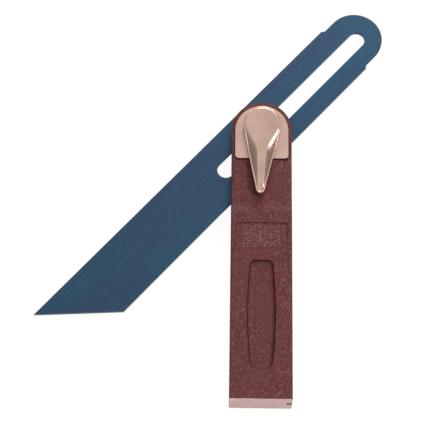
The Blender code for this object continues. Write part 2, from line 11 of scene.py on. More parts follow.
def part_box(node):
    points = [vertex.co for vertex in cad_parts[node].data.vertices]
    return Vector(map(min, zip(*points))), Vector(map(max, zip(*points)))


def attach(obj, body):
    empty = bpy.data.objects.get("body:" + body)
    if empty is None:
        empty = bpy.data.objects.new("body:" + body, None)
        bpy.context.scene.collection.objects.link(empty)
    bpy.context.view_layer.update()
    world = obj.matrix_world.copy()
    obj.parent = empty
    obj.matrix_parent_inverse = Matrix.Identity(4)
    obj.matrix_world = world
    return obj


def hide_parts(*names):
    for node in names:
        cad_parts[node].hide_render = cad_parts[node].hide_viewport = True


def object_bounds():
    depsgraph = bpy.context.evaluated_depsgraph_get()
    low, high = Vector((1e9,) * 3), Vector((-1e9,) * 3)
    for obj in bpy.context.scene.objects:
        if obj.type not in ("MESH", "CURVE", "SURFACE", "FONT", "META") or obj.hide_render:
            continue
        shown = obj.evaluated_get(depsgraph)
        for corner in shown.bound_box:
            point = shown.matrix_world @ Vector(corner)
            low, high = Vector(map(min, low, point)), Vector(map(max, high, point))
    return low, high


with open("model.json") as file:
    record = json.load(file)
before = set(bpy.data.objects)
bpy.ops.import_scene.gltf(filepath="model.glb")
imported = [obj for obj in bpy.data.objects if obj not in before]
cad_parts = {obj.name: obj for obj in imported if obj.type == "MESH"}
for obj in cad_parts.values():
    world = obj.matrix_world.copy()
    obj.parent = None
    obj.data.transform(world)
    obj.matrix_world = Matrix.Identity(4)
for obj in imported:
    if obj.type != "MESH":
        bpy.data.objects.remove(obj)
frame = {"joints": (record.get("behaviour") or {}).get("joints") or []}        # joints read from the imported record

bl_info = {
    "name": "Sliding Bevel",
    "version": (1, 0, 0),
    "blender": (4, 5, 0),
    "location": "View3D > Sidebar > Bevel",
    "description": "Makes a sliding bevel with a slotted blade, a moulded stock and a locking lever",
    "category": "Add Mesh",
}

# Places and sizes read from the frame, in metres
CAD_LOW, CAD_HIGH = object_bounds()
JOINTS = {joint["name"]: joint for joint in frame["joints"]}
BOLT = Vector(JOINTS["blade_swing"]["pos_m"])
SLIDE = Vector(JOINTS["blade_slide"]["axis"])
BLADE_TURN = math.atan2(-SLIDE.x, SLIDE.y)
ON_BOLT = Matrix.Translation((BOLT.x, BOLT.y, 0))
ON_BLADE = ON_BOLT @ Matrix.Rotation(BLADE_TURN, 4, "Z")
STOCK_LOW, STOCK_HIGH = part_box("stock")
HALF_WIDTH = STOCK_HIGH.x
STOCK_TOP = STOCK_HIGH.z
HEAD_CENTRE = STOCK_HIGH.y - HALF_WIDTH - BOLT.y
STOCK_END = STOCK_LOW.y - BOLT.y
PLATE_LOW, PLATE_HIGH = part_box("front_plate")
PLATE_CENTRE = PLATE_HIGH.y - PLATE_HIGH.x - BOLT.y
PLATE_FOOT = PLATE_LOW.y - BOLT.y
LEVER_LOW, LEVER_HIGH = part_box("lever")
BLADE_LOW, BLADE_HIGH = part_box("blade")
BOLT_LOW, BOLT_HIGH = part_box("clamp_bolt")
WASHER_LOW, WASHER_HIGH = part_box("back_washer")
INSERT_LOW, INSERT_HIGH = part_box("lever_insert")
SPRING_LOW, SPRING_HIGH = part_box("spring_washer")

OVERRUN = 0.0015         # how far a cutter reaches past the solid
WELD = 2e-6              # points closer than this are merged
ARCH_STEPS = 44          # steps round a quarter of the stock's or the plate's head
HEAD_STEPS = 48          # steps round a quarter of the lever's head
TIP_STEPS = 14           # steps round half of the lever's tip
FLOOR_GAP = 0.0002       # from the floor to the object's back
LAMPS = {                # place and size of each lamp
    "key": ((0.53, -0.03, 0.83), 0.36),
    "top": ((0.25, 1.60, 1.05), 0.85),
    "fill": ((-0.15, -0.62, 0.42), 0.50),
}
FINISHES = {}


def metres(name, description, default):
    """Property for a length."""
    return FloatProperty(name=name, description=description, default=default, unit="LENGTH", precision=5)


def degrees(name, description, default):
    """Property for an angle, its default given in degrees."""
    return FloatProperty(name=name, description=description, default=math.radians(default), subtype="ANGLE")


def share(name, description, default):
    """Property for a share of something."""
    return FloatProperty(name=name, description=description, default=default, subtype="FACTOR")


def watts(name, description, default):
    """Property for a lamp's power."""
    return FloatProperty(name=name, description=description, default=default, unit="POWER")


def tint(name, description, default):
    """Property for a colour."""
    return FloatVectorProperty(name=name, description=description, default=default, subtype="COLOR")


def point(name, description, default):
    """Property for a place."""
    return FloatVectorProperty(name=name, description=description, default=default, subtype="TRANSLATION",
                               precision=5)


class StockSizes(bpy.types.PropertyGroup):
    edge_radius: metres("Edge radius", "Rounding of the long edges", 0.0008)
    end_radius: metres("End edge", "Rounding round the square-cut end", 0.00015)
    head_relief: metres("Head relief", "How far the head lies below the grip", 0.0012)
    ramp_start: metres("Ramp start", "From the bolt to the foot of the ramp", 0.0342)
    ramp_length: metres("Ramp length", "Length of the ramp up to the grip", 0.0051)
    groove_start: metres("Groove start", "From the bolt to the finger groove", 0.0616)
    groove_length: metres("Groove length", "Length of the finger groove", 0.0476)
    groove_width: metres("Groove width", "Widest place of the finger groove", 0.0120)
    groove_depth: metres("Groove depth", "Depth of the finger groove", 0.0017)
    groove_bow: metres("Groove bow", "Radius of the groove's long sides", 0.190)
    groove_lip: metres("Groove lip", "Rounding of the groove's edge", 0.0003)
    groove_cove: metres("Groove cove", "Height of the cove round the groove's floor", 0.0014)
    groove_run: metres("Cove run", "Width of the cove round the groove's floor", 0.0021)
    label_start: metres("Label start", "From the bolt to the label recess", 0.0445)
    label_length: metres("Label length", "Length of the label recess along the stock", 0.0121)
    label_width: metres("Label width", "Width of the label recess", 0.0222)
    label_depth: metres("Label depth", "Depth of the label recess", 0.0005)
    label_corner: metres("Label corner", "Radius of the label recess's corners", 0.0009)
    label_lip: metres("Label lip", "Rounding of the label recess's edge", 0.00012)
    label_cove: metres("Label cove", "Cove round the label recess's floor", 0.0002)
    plate_lip: metres("Plate lip", "Rounding of the edge round the front plate", 0.00015)
    slot_wall: metres("Slot end wall", "Solid plastic below the blade slot", 0.014)
    slot_gap: metres("Slot gap", "Gap between the blade and each wall of its slot", 0.0003)
    runout_width: metres("Run-out width", "Width of the slot's run-out at the end", 0.0024)
    runout_corner: metres("Run-out corner", "Radius of the corner where the run-out starts", 0.0006)


class LabelSizes(bpy.types.PropertyGroup):
    pitch: metres("Pip spacing", "Least distance between two pips", 0.00072)
    radius: metres("Pip radius", "Radius of the largest pips", 0.00033)
    side_margin: metres("Side margin", "Bare border on each side of the pips", 0.00323)
    end_margin: metres("End margin", "Bare border above and below the pips", 0.00114)
    seed: IntProperty(name="Seed", description="Seed of the pips' places", default=4, min=0)


class PlateSizes(bpy.types.PropertyGroup):
    thickness: metres("Thickness", "Thickness of the plate", 0.0012)
    corner: metres("Foot corner", "Radius of the two lower corners", 0.0016)
    rim: metres("Rim rounding", "Rounding of the rim", 0.00038)
    bore: metres("Bore", "Radius of the bolt hole", 0.0028)
    spigot_radius: metres("Spigot radius", "Radius of the pins cast on the back", 0.001)
    spigot_inset: metres("Spigot inset", "From the plate's edges to each pin's axis", 0.0031)


class LeverSizes(bpy.types.PropertyGroup):
    rest_angle: degrees("Rest angle", "Turn of the locked lever from the stock's line", -1.3)
    span: metres("Span", "Between the centres of the head and the tip", 0.0303)
    tip_radius: metres("Tip radius", "Radius of the tail's tip in plan", 0.0019)
    tail_drop: metres("Tail drop", "How far the ridge falls towards the tip", 0.0006)
    nose_drop: metres("Nose drop", "How far the ridge rolls down at the tip", 0.0004)
    flank_slope: degrees("Flank slope", "Slope of the flanks beside the ridge", 25.5)
    flank_round: share("Flank rounding", "How round the flanks are beside the head", 0.50)
    tail_share: share("Tail rounding", "Share of that rounding along the tail", 0.7)
    shoulder: metres("Shoulder", "Drop of the face's rim where the head narrows", 0.00017)
    face_inset: metres("Face inset", "From the head's outline to its dished face", 0.00112)
    head_rim: metres("Head rim", "Part of the rim that doesn't fall with the flanks", 0.0010)
    dish: metres("Dish depth", "How far the head's face is sunk", 0.00045)
    bead_radius: metres("Bead radius", "Radius of the bead round the lever", 0.00017)
    bead_land: metres("Bead land", "Flat width on top of the bead", 0.0004)
    bead_sweep: degrees("Bead sweep", "How far round the bead's section runs", 150)
    ridge_root: metres("Ridge root", "Width of the ridge at the head", 0.0048)
    ridge_tip: metres("Ridge tip", "Width of the ridge at the tip", 0.0020)
    ridge_crown: metres("Ridge crown", "How far the ridge is crowned", -0.00003)
    blend: metres("Blend length", "Length over which the face narrows to the ridge", 0.0138)
    hollow_depth: metres("Hollow depth", "Depth of the hollow under the tail", 0.0013)
    hollow_wall: metres("Hollow wall", "Wall round the hollow under the tail", 0.0011)


class BladeSizes(bpy.types.PropertyGroup):
    length: metres("Length", "Blade from tip to round end", 0.2034)
    width: metres("Width", "Blade across its parallel edges", 0.0268)
    cut_angle: degrees("Cut angle", "Angle of the cut end", 45)
    tang_width: metres("Tang width", "Width behind the shoulders", 0.0247)
    tang_length: metres("Tang length", "From the round end to the shoulders", 0.0198)
    shoulder: metres("Shoulder", "Radius of the shoulders", 0.0009)
    slot_width: metres("Slot width", "Width of the slot", 0.0075)
    slot_span: metres("Slot span", "Between the centres of the slot's ends", 0.0869)
    slot_offset: metres("Slot offset", "Slot from the blade's centre line", 0.001)
    slot_foot: metres("Slot foot", "From the bolt to the slot's lower end", 0.0232)
    edge: metres("Edge rounding", "Rounding of the ground edges", 0.00018)
    # band along the edges that carries the worn, partly painted-shade edge colour
    wear_and_painted_light: metres("Rubbed band", "Width of the rubbed band along the edges", 0.0004)


class ClampSizes(bpy.types.PropertyGroup):
    bolt_radius: metres("Bolt radius", "Radius at the foot of the thread", 0.0023)
    bolt_point: metres("Bolt point", "Chamfer at the bolt's end", 0.0004)
    thread_height: metres("Thread height", "How far the thread stands out", 0.0003)
    thread_pitch: metres("Thread pitch", "Climb of the thread in one turn", 0.0008)
    head_height: metres("Head height", "Height of the bolt's head", 0.0018)
    head_crown: metres("Head crown", "Rounding of the bolt's head", 0.0006)
    neck_width: metres("Neck width", "Width of the square neck", 0.0064)
    neck_height: metres("Neck height", "Height of the square neck", 0.0024)
    washer_edge: metres("Washer edge", "Rounding of the back washer's edges", 0.00012)
    block_gap: metres("Block gap", "Gap on each side of the slide block", 0.0002)
    block_reach: metres("Block reach", "Half of the slide block's length", 0.0045)
    block_edge: metres("Block edge", "Rounding of the slide block's and the insert's edges", 0.0001)
    insert_width: metres("Insert width", "Hexagon insert across its flats", 0.0090)
    spring_inner: metres("Spring bore", "Inner radius of the spring washer", 0.0034)
    spring_thickness: metres("Spring thickness", "Thickness of the spring washer", 0.0004)
    spring_waves: IntProperty(name="Spring waves", description="Waves round the spring washer", default=3,
                              min=1)


class FinishColours(bpy.types.PropertyGroup):
    wine: tint("Wine plastic", "Main colour of the stock", (0.138, 0.028, 0.027))
    wine_dark: tint("Dark grain", "Dark streaks in the stock", (0.062, 0.010, 0.010))
    wine_pale: tint("Pale grain", "Pale specks in the stock", (0.330, 0.165, 0.158))
    # painted shade: dark colour laid on the steep recess walls, where shade falls
    wine_recess_shade: tint("Grime", "Dark plastic on the walls of the recesses", (0.030, 0.004, 0.004))
    # pip colour: worn pale, partly a painted highlight where the raised pips catch the light
    wine_worn_lit: tint("Rubbed pips", "Pale tops of the label's pips", (0.330, 0.190, 0.175))
    # painted sheen: pale colour and darker streaks on the square end, standing in for its grazing reflection
    wine_end_sheen: tint("Sawn end", "Pale face of the stock's square end", (0.820, 0.560, 0.550))
    wine_streaks_in_end_sheen: tint("Saw marks", "Darker lines across the sawn end", (0.520, 0.310, 0.305))
    blue: tint("Blued steel", "Main colour of the blade", (0.026, 0.075, 0.127))
    violet: tint("Violet tint", "Second tint of the blade", (0.034, 0.063, 0.122))
    # edge colour: bluing worn grey in patches, partly painted shade for the dark reflection of the ground
    # edges
    edge_wear_and_shade: tint("Bare edge", "Rubbed edges of the blade", (0.050, 0.050, 0.060))
    zinc: tint("Zinc alloy", "Lever and front plate", (0.650, 0.440, 0.362))
    steel: tint("Plain steel", "Bolt, washers, insert and slide block", (0.520, 0.520, 0.530))


class StageSettings(bpy.types.PropertyGroup):
    lens: FloatProperty(name="Lens", description="Focal length of the camera", default=138.48, unit="CAMERA")
    camera_place: point("Camera", "Place of the camera", (-0.01766, -0.24641, 0.66693))
    aim: point("Aim", "Point at the middle of the picture", (-0.02139, 0.01628, 0.0))
    floor_size: metres("Floor", "Width of the floor", 8.0)
    key_power: watts("Key lamp", "Lamp on the right", 2.5)
    top_power: watts("Top lamp", "Lamp beyond the head", 17.0)
    fill_power: watts("Fill lamp", "Low lamp in front", 1.5)


def node(tree, kind, inputs=None, **settings):
    """Node with its settings, whose inputs are each linked to an output or set to a value."""
    made = tree.nodes.new(kind)
    for name, value in settings.items():
        setattr(made, name, value)
    for name, value in (inputs or {}).items():
        if isinstance(value, bpy.types.NodeSocket):
            tree.links.new(value, made.inputs[name])
        else:
            made.inputs[name].default_value = value
    return made


def output(tree, kind, inputs=None, **settings):
    """First output of a new node."""
    return node(tree, kind, inputs, **settings).outputs[0]


def sums(tree, operation, first, second=0.0):
    """Output of a Math node on one or two values."""
    return output(tree, "ShaderNodeMath", {0: first, 1: second}, operation=operation)


def noise(tree, scale, detail, roughness, distortion=0.0, stretch=(1, 1, 1), turn=0.0):
    """Noise at a scale in cycles for each metre, on object coordinates turned about Z and then stretched."""
    place = node(tree, "ShaderNodeTexCoord").outputs["Object"]
    turned_place = output(tree, "ShaderNodeMapping", {"Vector": place, "Rotation": (0, 0, turn)})
    stretched = output(tree, "ShaderNodeMapping", {"Vector": turned_place, "Scale": stretch})
    return node(tree, "ShaderNodeTexNoise", {"Vector": stretched, "Scale": scale, "Detail": detail,
                                             "Roughness": roughness, "Distortion": distortion}).outputs["Fac"]


def painted(tree, name):
    """Value of an attribute that a piece carries."""
    return node(tree, "ShaderNodeAttribute", attribute_name=name).outputs["Fac"]


def ramp(tree, factor, low, high):
    """Factor stretched so that low becomes 0 and high becomes 1."""
    return output(tree, "ShaderNodeMapRange", {"Value": factor, "From Min": low, "From Max": high})


def spread(tree, factor, low, high):
    """Factor squeezed so that 0 becomes low and 1 becomes high."""
    return output(tree, "ShaderNodeMapRange", {"Value": factor, "To Min": low, "To Max": high})


def blend_colour(tree, factor, first, second):
    """Mix of two colours, each a colour or an output."""
    first, second = (colour if isinstance(colour, bpy.types.NodeSocket) else (*colour, 1.0)
                     for colour in (first, second))
    return node(tree, "ShaderNodeMix", {0: factor, 6: first, 7: second}, data_type="RGBA").outputs[2]


def laid_over(tree, colour, second, mask, low, high, strength):
    """Colour with a second one over it where a mask climbs from low to high, at a strength."""
    cover = sums(tree, "MULTIPLY", ramp(tree, mask, low, high), strength)
    return blend_colour(tree, cover, colour, second)


def relief(tree, height, strength, distance):
    """Bump normal from a height."""
    return output(tree, "ShaderNodeBump", {"Height": height, "Strength": strength, "Distance": distance})


def finish(name, metallic):
    """Empty material with its Principled shader."""
    made = bpy.data.materials.new(name)
    made.use_nodes = True
    shader = made.node_tree.nodes["Principled BSDF"]
    shader.inputs["Metallic"].default_value = metallic
    return made, made.node_tree, shader


def set_surface(tree, shader, colour, roughness, normal):
    """Colour, roughness and normal of a shader from outputs."""
    tree.links.new(colour, shader.inputs["Base Color"])
    tree.links.new(roughness, shader.inputs["Roughness"])
    tree.links.new(normal, shader.inputs["Normal"])


def wine_plastic(colours, name, wear_and_painted_light):
    """Mottled moulded plastic with slanting grain, its high spots worn pale with a painted highlight, painted
    shade on the recess walls, and a painted sheen on its square end.
    """
    made, tree, shader = finish(name, 0.0)
    shader.inputs["Specular IOR Level"].default_value = 0.22
    grain = noise(tree, 700, 6, 0.78, 0.5, stretch=(1, 0.45, 1), turn=0.16)
    specks = noise(tree, 1400, 3, 0.6, stretch=(1, 0.6, 1), turn=0.5)
    clouds = noise(tree, 110, 4, 0.7, stretch=(1, 0.5, 1))
    colour = blend_colour(tree, ramp(tree, grain, 0.36, 0.64), colours.wine_dark, colours.wine)
    colour = laid_over(tree, colour, colours.wine_pale, specks, 0.50, 0.72, 0.42)
    dull = (colours.wine[0] * 0.78, colours.wine[1] * 0.95, colours.wine[2] * 1.10)
    colour = laid_over(tree, colour, dull, clouds, 0.45, 0.66, 0.80)
    # pips: worn pale colour that is partly a painted highlight
    colour = blend_colour(tree, wear_and_painted_light, colour, colours.wine_worn_lit)
    # painted shade on the steep recess walls
    grime = sums(tree, "MULTIPLY", painted(tree, "grime"), 0.75)
    colour = blend_colour(tree, grime, colour, colours.wine_recess_shade)
    # painted sheen: pale streaked colour on the square end for its grazing reflection
    marks = noise(tree, 2400, 4, 0.7, stretch=(0.12, 1, 1))
    end_sheen_colour = blend_colour(tree, ramp(tree, marks, 0.35, 0.62), colours.wine_streaks_in_end_sheen, colours.wine_end_sheen)
    colour = blend_colour(tree, painted(tree, "cut"), colour, end_sheen_colour)
    height = sums(tree, "ADD", specks, grain)
    set_surface(tree, shader, colour, spread(tree, specks, 0.46, 0.62), relief(tree, height, 0.45, 0.00014))
    return made


def blued_steel(colours):
    """Blued spring steel: tints in patches, faint grinding lines along the blade, and ground edges worn grey
    in patches and darkened with painted shade.
    """
    made, tree, shader = finish("blued_steel", 0.80)
    lines = noise(tree, 2400, 4, 0.7, stretch=(1, 0.015, 1), turn=-BLADE_TURN)
    patches = noise(tree, 60, 4, 0.6, 0.8, stretch=(1, 0.35, 1), turn=-BLADE_TURN)
    blotches = noise(tree, 520, 5, 0.70, 0.3, stretch=(1, 0.8, 1), turn=-BLADE_TURN)
    colour = blend_colour(tree, ramp(tree, patches, 0.36, 0.64), colours.blue, colours.violet)
    pale = tuple(value * 1.6 + 0.010 for value in colours.blue)
    colour = laid_over(tree, colour, pale, lines, 0.48, 0.75, 0.45)
    dark = tuple(value * 0.5 for value in colours.blue)
    colour = laid_over(tree, colour, dark, blotches, 0.45, 0.75, 0.40)
    # edge mask: worn bluing in patches, partly painted shade of the ground edges' dark reflection
    wear_and_painted_light = sums(tree, "MULTIPLY", ramp(tree, painted(tree, "edge"), 0.10, 0.60),
                  ramp(tree, blotches, 0.20, 0.45))
    colour = blend_colour(tree, wear_and_painted_light, colour, colours.edge_wear_and_shade)
    set_surface(tree, shader, colour, spread(tree, blotches, 0.28, 0.42), relief(tree, lines, 0.14, 0.00004))
    return made


def zinc_alloy(colours, name, low_rough, high_rough, grain):
    """Die-cast zinc alloy with a warm tone, its skin from satin to polished."""
    made, tree, shader = finish(name, 1.0)
    fine = noise(tree, 2600, 3, 0.6)
    waves = noise(tree, 160, 3, 0.5)
    deep = tuple(value * 0.86 for value in colours.zinc)
    colour = blend_colour(tree, ramp(tree, waves, 0.35, 0.7), colours.zinc, deep)
    height = sums(tree, "ADD", sums(tree, "MULTIPLY", fine, grain), waves)
    set_surface(tree, shader, colour, spread(tree, fine, low_rough, high_rough),
                relief(tree, height, 0.10, 0.00010))
    return made


def plain_steel(colours):
    """Plain turned steel with fine marks round its axis."""
    made, tree, shader = finish("plain_steel", 1.0)
    marks = noise(tree, 1500, 4, 0.7, stretch=(1, 1, 6))
    tarnish = noise(tree, 300, 4, 0.6)
    dull = tuple(value * 0.75 for value in colours.steel)
    colour = blend_colour(tree, ramp(tree, tarnish, 0.45, 0.75), colours.steel, dull)
    set_surface(tree, shader, colour, spread(tree, marks, 0.25, 0.42), relief(tree, marks, 0.15, 0.00005))
    return made


def arc(centre, radius, start, stop, steps):
    """Points on an arc from one angle in degrees to another, both ends included."""
    angles = [math.radians(start + (stop - start) * step / steps) for step in range(steps + 1)]
    return [Vector((centre[0] + radius * math.cos(a), centre[1] + radius * math.sin(a))) for a in angles]


def filleted(corners, steps=10):
    """Closed outline through corners given as x, y and radius, each corner turned into an arc."""
    points = []
    for index, (x, y, radius) in enumerate(corners):
        corner = Vector((x, y))
        if radius == 0:
            points.append(corner)
            continue
        back = (Vector(corners[index - 1][:2]) - corner).normalized()
        ahead = (Vector(corners[(index + 1) % len(corners)][:2]) - corner).normalized()
        half = back.angle(ahead) / 2
        centre = corner + (back + ahead).normalized() * radius / math.sin(half)
        start = corner + back * radius / math.tan(half) - centre
        stop = corner + ahead * radius / math.tan(half) - centre
        first = math.degrees(math.atan2(start.y, start.x))
        sweep = (math.degrees(math.atan2(stop.y, stop.x)) - first + 180) % 360 - 180
        points += arc(centre, radius, first, first + sweep, steps)
    return points


def inset(outline, distance):
    """Counter-clockwise outline moved inwards by a distance."""
    moved = []
    for index, place in enumerate(outline):
        before = (place - outline[index - 1]).normalized()
        after = (outline[(index + 1) % len(outline)] - place).normalized()
        inward = Vector((-before.y, before.x))
        middle = (inward + Vector((-after.y, after.x))).normalized()
        moved.append(place + middle * distance / middle.dot(inward))
    return moved


def mirrored(left):
    """Whole outline from its left half, which starts at the top point on the middle line."""
    return left + [Vector((-place.x, place.y)) for place in reversed(left[1:])]


def raised(outline, height):
    """Outline lifted to a height as 3D points."""
    return [Vector((place.x, place.y, height)) for place in outline]


def skin(bm, loops):
    """Side faces between closed loops of equal length, the lowest loop first."""
    rows = [[bm.verts.new(place) for place in loop] for loop in loops]
    for low, high in zip(rows, rows[1:]):
        for index in range(len(low)):
            after = (index + 1) % len(low)
            bm.faces.new((low[index], low[after], high[after], high[index]))
    return rows


def stacked(loops):
    """Closed solid through loops, with a flat cap on the lowest and the highest."""
    bm = bmesh.new()
    rows = skin(bm, loops)
    bm.faces.new(list(reversed(rows[0])))
    bm.faces.new(rows[-1])
    return bm


def prism(outline, low, high):
    """Solid with one outline between two heights."""
    return stacked([raised(outline, low), raised(outline, high)])


def lipped_cutter(outline, depth, lip, cove=0.0, run=0.0, steps=10):
    """Cutter below a face at zero height: coved floor, straight wall and a rounded lip that flares out."""
    loops = []
    lip_sweep = math.radians(80)
    for step in range(steps if cove else 1):
        angle = math.pi / 2 * step / steps
        loops.append(raised(inset(outline, (run or cove) * (1 - math.sin(angle))),
                            -depth + cove * (1 - math.cos(angle))))
    for step in range(steps + 1):
        angle = lip_sweep * step / steps
        loops.append(raised(inset(outline, -lip * (1 - math.cos(angle))), -lip * (1 - math.sin(angle))))
    loops += [raised(inset(outline, -lip), height) for height in (lip * 0.4, OVERRUN)]
    return stacked(loops)


def turned(profile, segments=64):
    """Solid of revolution about Z from radius and height pairs that run up its outer side."""
    bm = bmesh.new()
    verts = [bm.verts.new((radius, 0, height)) for radius, height in profile]
    edges = [bm.edges.new(pair) for pair in zip(verts, verts[1:])]
    bmesh.ops.spin(bm, geom=verts + edges, axis=(0, 0, 1), cent=(0, 0, 0),
                   angle=math.tau, steps=segments, use_merge=True)
    rim = [edge for edge in bm.edges if edge.is_boundary]
    bmesh.ops.holes_fill(bm, edges=rim, sides=segments)
    bmesh.ops.remove_doubles(bm, verts=bm.verts, dist=1e-7)
    bmesh.ops.recalc_face_normals(bm, faces=bm.faces)
    return bm


def pin(radius, low, high, segments=64):
    """Round bar about Z between two heights."""
    return turned([(0, low), (radius, low), (radius, high), (0, high)], segments)


def to_object(name, bm, place=None):
    """Mesh object in the scene from a bmesh, placed in its mesh."""
    mesh = bpy.data.meshes.new(name)
    bm.to_mesh(mesh)
    bm.free()
    if place:
        mesh.transform(place)
    made = bpy.data.objects.new(name, mesh)
    bpy.context.scene.collection.objects.link(made)
    return made


def applied(piece):
    """Piece with its modifiers made part of its mesh."""
    bpy.context.view_layer.update()
    seen = piece.evaluated_get(bpy.context.evaluated_depsgraph_get())
    mesh = bpy.data.meshes.new_from_object(seen)
    piece.modifiers.clear()
    old = piece.data
    piece.data = mesh
    bpy.data.meshes.remove(old)
    mesh.name = piece.name
    return piece


def carved(piece, tools, operation="DIFFERENCE"):
    """Piece after a Boolean with each tool, given as a bmesh and its place."""
    helpers = []
    for bm, place in tools:
        helper = to_object(piece.name + "_tool", bm, place)
        helpers.append(helper)
        modifier = piece.modifiers.new("carve", "BOOLEAN")
        modifier.operation = operation
        modifier.solver = "EXACT"
        modifier.object = helper
    applied(piece)
    for helper in helpers:
        bpy.data.meshes.remove(helper.data)
    return piece


def banded(piece, width):
    """Narrow band of faces inside the rim of each flat side, which keeps what is painted on the rim there."""
    bm = bmesh.new()
    bm.from_mesh(piece.data)
    smallest = 1e-4
    sides = [face for face in bm.faces if abs(face.normal.z) > 0.999 and face.calc_area() > smallest]
    bmesh.ops.inset_region(bm, faces=sides, thickness=width, use_even_offset=True)
    bm.to_mesh(piece.data)
    bm.free()


def smoothed(piece, angle, bevel=0.0, segments=2, band=0.0):
    """Piece shaded smooth below an angle in degrees, with rounded edges and a band inside them if asked."""
    bm = bmesh.new()
    bm.from_mesh(piece.data)
    bmesh.ops.remove_doubles(bm, verts=bm.verts, dist=WELD)
    bmesh.ops.dissolve_degenerate(bm, edges=bm.edges, dist=WELD / 2)
    bmesh.ops.recalc_face_normals(bm, faces=bm.faces)
    bm.to_mesh(piece.data)
    bm.free()
    if bevel:
        modifier = piece.modifiers.new("edges", "BEVEL")
        modifier.width = bevel
        modifier.segments = segments
        modifier.limit_method = "ANGLE"
        modifier.angle_limit = math.radians(angle)
        applied(piece)
    if band:
        banded(piece, band)
    spare = 12 if bevel else 0
    piece.data.shade_smooth()
    piece.data.set_sharp_from_angle(angle=math.radians(angle + spare))
    weighted = piece.modifiers.new("normals", "WEIGHTED_NORMAL")
    weighted.keep_sharp = True
    weighted.weight = 100
    return applied(piece)


def ease(value):
    """Smooth climb from 0 to 1 as the value goes from 0 to 1."""
    value = min(max(value, 0), 1)
    return value * value * (3 - 2 * value)


def mark(piece, name, domain, values):
    """Attribute of a piece with one value for each of its points or faces."""
    layer = piece.data.attributes.new(name, "FLOAT", domain)
    layer.data.foreach_set("value", values)


def mark_edges(piece):
    """Attribute that is 1 where a face turns over an edge and 0 on flat faces and sides."""
    mark(piece, "edge", "POINT", [2 * abs(vert.normal.z) * math.hypot(vert.normal.x, vert.normal.y)
                                  for vert in piece.data.vertices])


def mark_stock(piece, inner):
    """Attributes of the stock: "cut" on its square end, which carries a painted sheen, and painted shade on
    the steep walls inside its outline.
    """
    faces = piece.data.polygons
    mark(piece, "cut", "FACE", [float(face.normal.y < -0.99 and face.center.y < STOCK_LOW.y + OVERRUN)
                                for face in faces])
    # painted shade mask: steep faces inside the outline, the recess walls where shade falls
    mark(piece, "grime", "FACE", [
        ease((0.95 - abs(face.normal.z)) / 0.5) * (abs(face.center.x) < HALF_WIDTH - inner)
        * (face.center.y > STOCK_LOW.y + inner) for face in faces])


def seat(piece, material, body, slot, *nodes):
    """Give a finished piece its material and body, and let it stand for CAD nodes; the record slot is not
    used.
    """
    piece.data.materials.clear()
    piece.data.materials.append(material)
    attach(piece, body)
    if nodes:
        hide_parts(*nodes)
    return piece


def new_group(name, lengths=(), counts=()):
    """Node group with its named inputs, and the sockets that give their values."""
    tree = bpy.data.node_groups.new(name, "GeometryNodeTree")
    kinds = {"Geometry": "Geometry", **dict.fromkeys(lengths, "Float"), **dict.fromkeys(counts, "Int"),
             "Material": "Material"}
    for label, kind in kinds.items():
        tree.interface.new_socket(label, in_out="INPUT", socket_type="NodeSocket" + kind)
    tree.interface.new_socket("Geometry", in_out="OUTPUT", socket_type="NodeSocketGeometry")
    return tree, node(tree, "NodeGroupInput").outputs


def close_group(tree, shape, material):
    """Node group that ends in a shape made real, with its material."""
    real = output(tree, "GeometryNodeRealizeInstances", {"Geometry": shape})
    done = output(tree, "GeometryNodeSetMaterial", {"Geometry": real, "Material": material})
    node(tree, "NodeGroupOutput", {"Geometry": done})
    return tree


def grown(piece, tree, values):
    """Piece whose mesh is what a node group makes of it with named input values."""
    modifier = piece.modifiers.new("grow", "NODES")
    modifier.node_group = tree
    for item in tree.interface.items_tree:
        if item.item_type == "SOCKET" and item.in_out == "INPUT" and item.name in values:
            modifier[item.identifier] = values[item.name]
    return applied(piece)


def front_height(sizes, y):
    """Height of the stock's front at a place along Y: low head, hollow ramp, high grip."""
    climb = min(max(-sizes.ramp_start - y, 0), sizes.ramp_length)
    radius = (sizes.ramp_length ** 2 + sizes.head_relief ** 2) / (2 * sizes.head_relief)
    return STOCK_TOP - sizes.head_relief + radius - math.sqrt(radius ** 2 - climb ** 2)


def stock_blank(sizes):
    """Stock before its recesses: rounded long edges, the ramp in front and a crisp, square-cut end."""
    left = arc((0, HEAD_CENTRE), HALF_WIDTH, 90, 180, ARCH_STEPS)
    ramp_steps = 24
    for step in range(ramp_steps + 1):
        left.append(Vector((-HALF_WIDTH, -sizes.ramp_start - sizes.ramp_length * step / ramp_steps)))
    left.append(Vector((-HALF_WIDTH, STOCK_END - sizes.edge_radius - OVERRUN)))
    outline = mirrored(left)
    front = []
    back = []
    round_steps = 8
    for step in range(round_steps + 1):
        angle = math.pi / 2 * step / round_steps
        loop = inset(outline, sizes.edge_radius * (1 - math.cos(angle)))
        drop = sizes.edge_radius * (1 - math.sin(angle))
        front.append([(place.x, place.y, front_height(sizes, place.y) - drop) for place in loop])
        back.insert(0, raised(loop, drop))
    bm = bmesh.new()
    rows = skin(bm, back + front)
    bm.faces.new(list(reversed(rows[0])))
    top = rows[-1]
    count = len(top)
    for index in range(count // 2):
        face = [top[index], top[index + 1], top[count - index - 1], top[-index]]
        bm.faces.new([vert for place, vert in enumerate(face) if vert not in face[:place]])
    whole = bm.verts[:] + bm.edges[:] + bm.faces[:]
    sawn = bmesh.ops.bisect_plane(bm, geom=whole, plane_co=(0, STOCK_END, 0), plane_no=(0, -1, 0),
                                  clear_outer=True)
    rim = [item for item in sawn["geom_cut"] if isinstance(item, bmesh.types.BMEdge)]
    bmesh.ops.holes_fill(bm, edges=rim, sides=len(rim))
    bmesh.ops.bevel(bm, geom=rim, offset=sizes.end_radius, segments=3, profile=0.5, affect="EDGES")
    bmesh.ops.recalc_face_normals(bm, faces=bm.faces)
    return bm


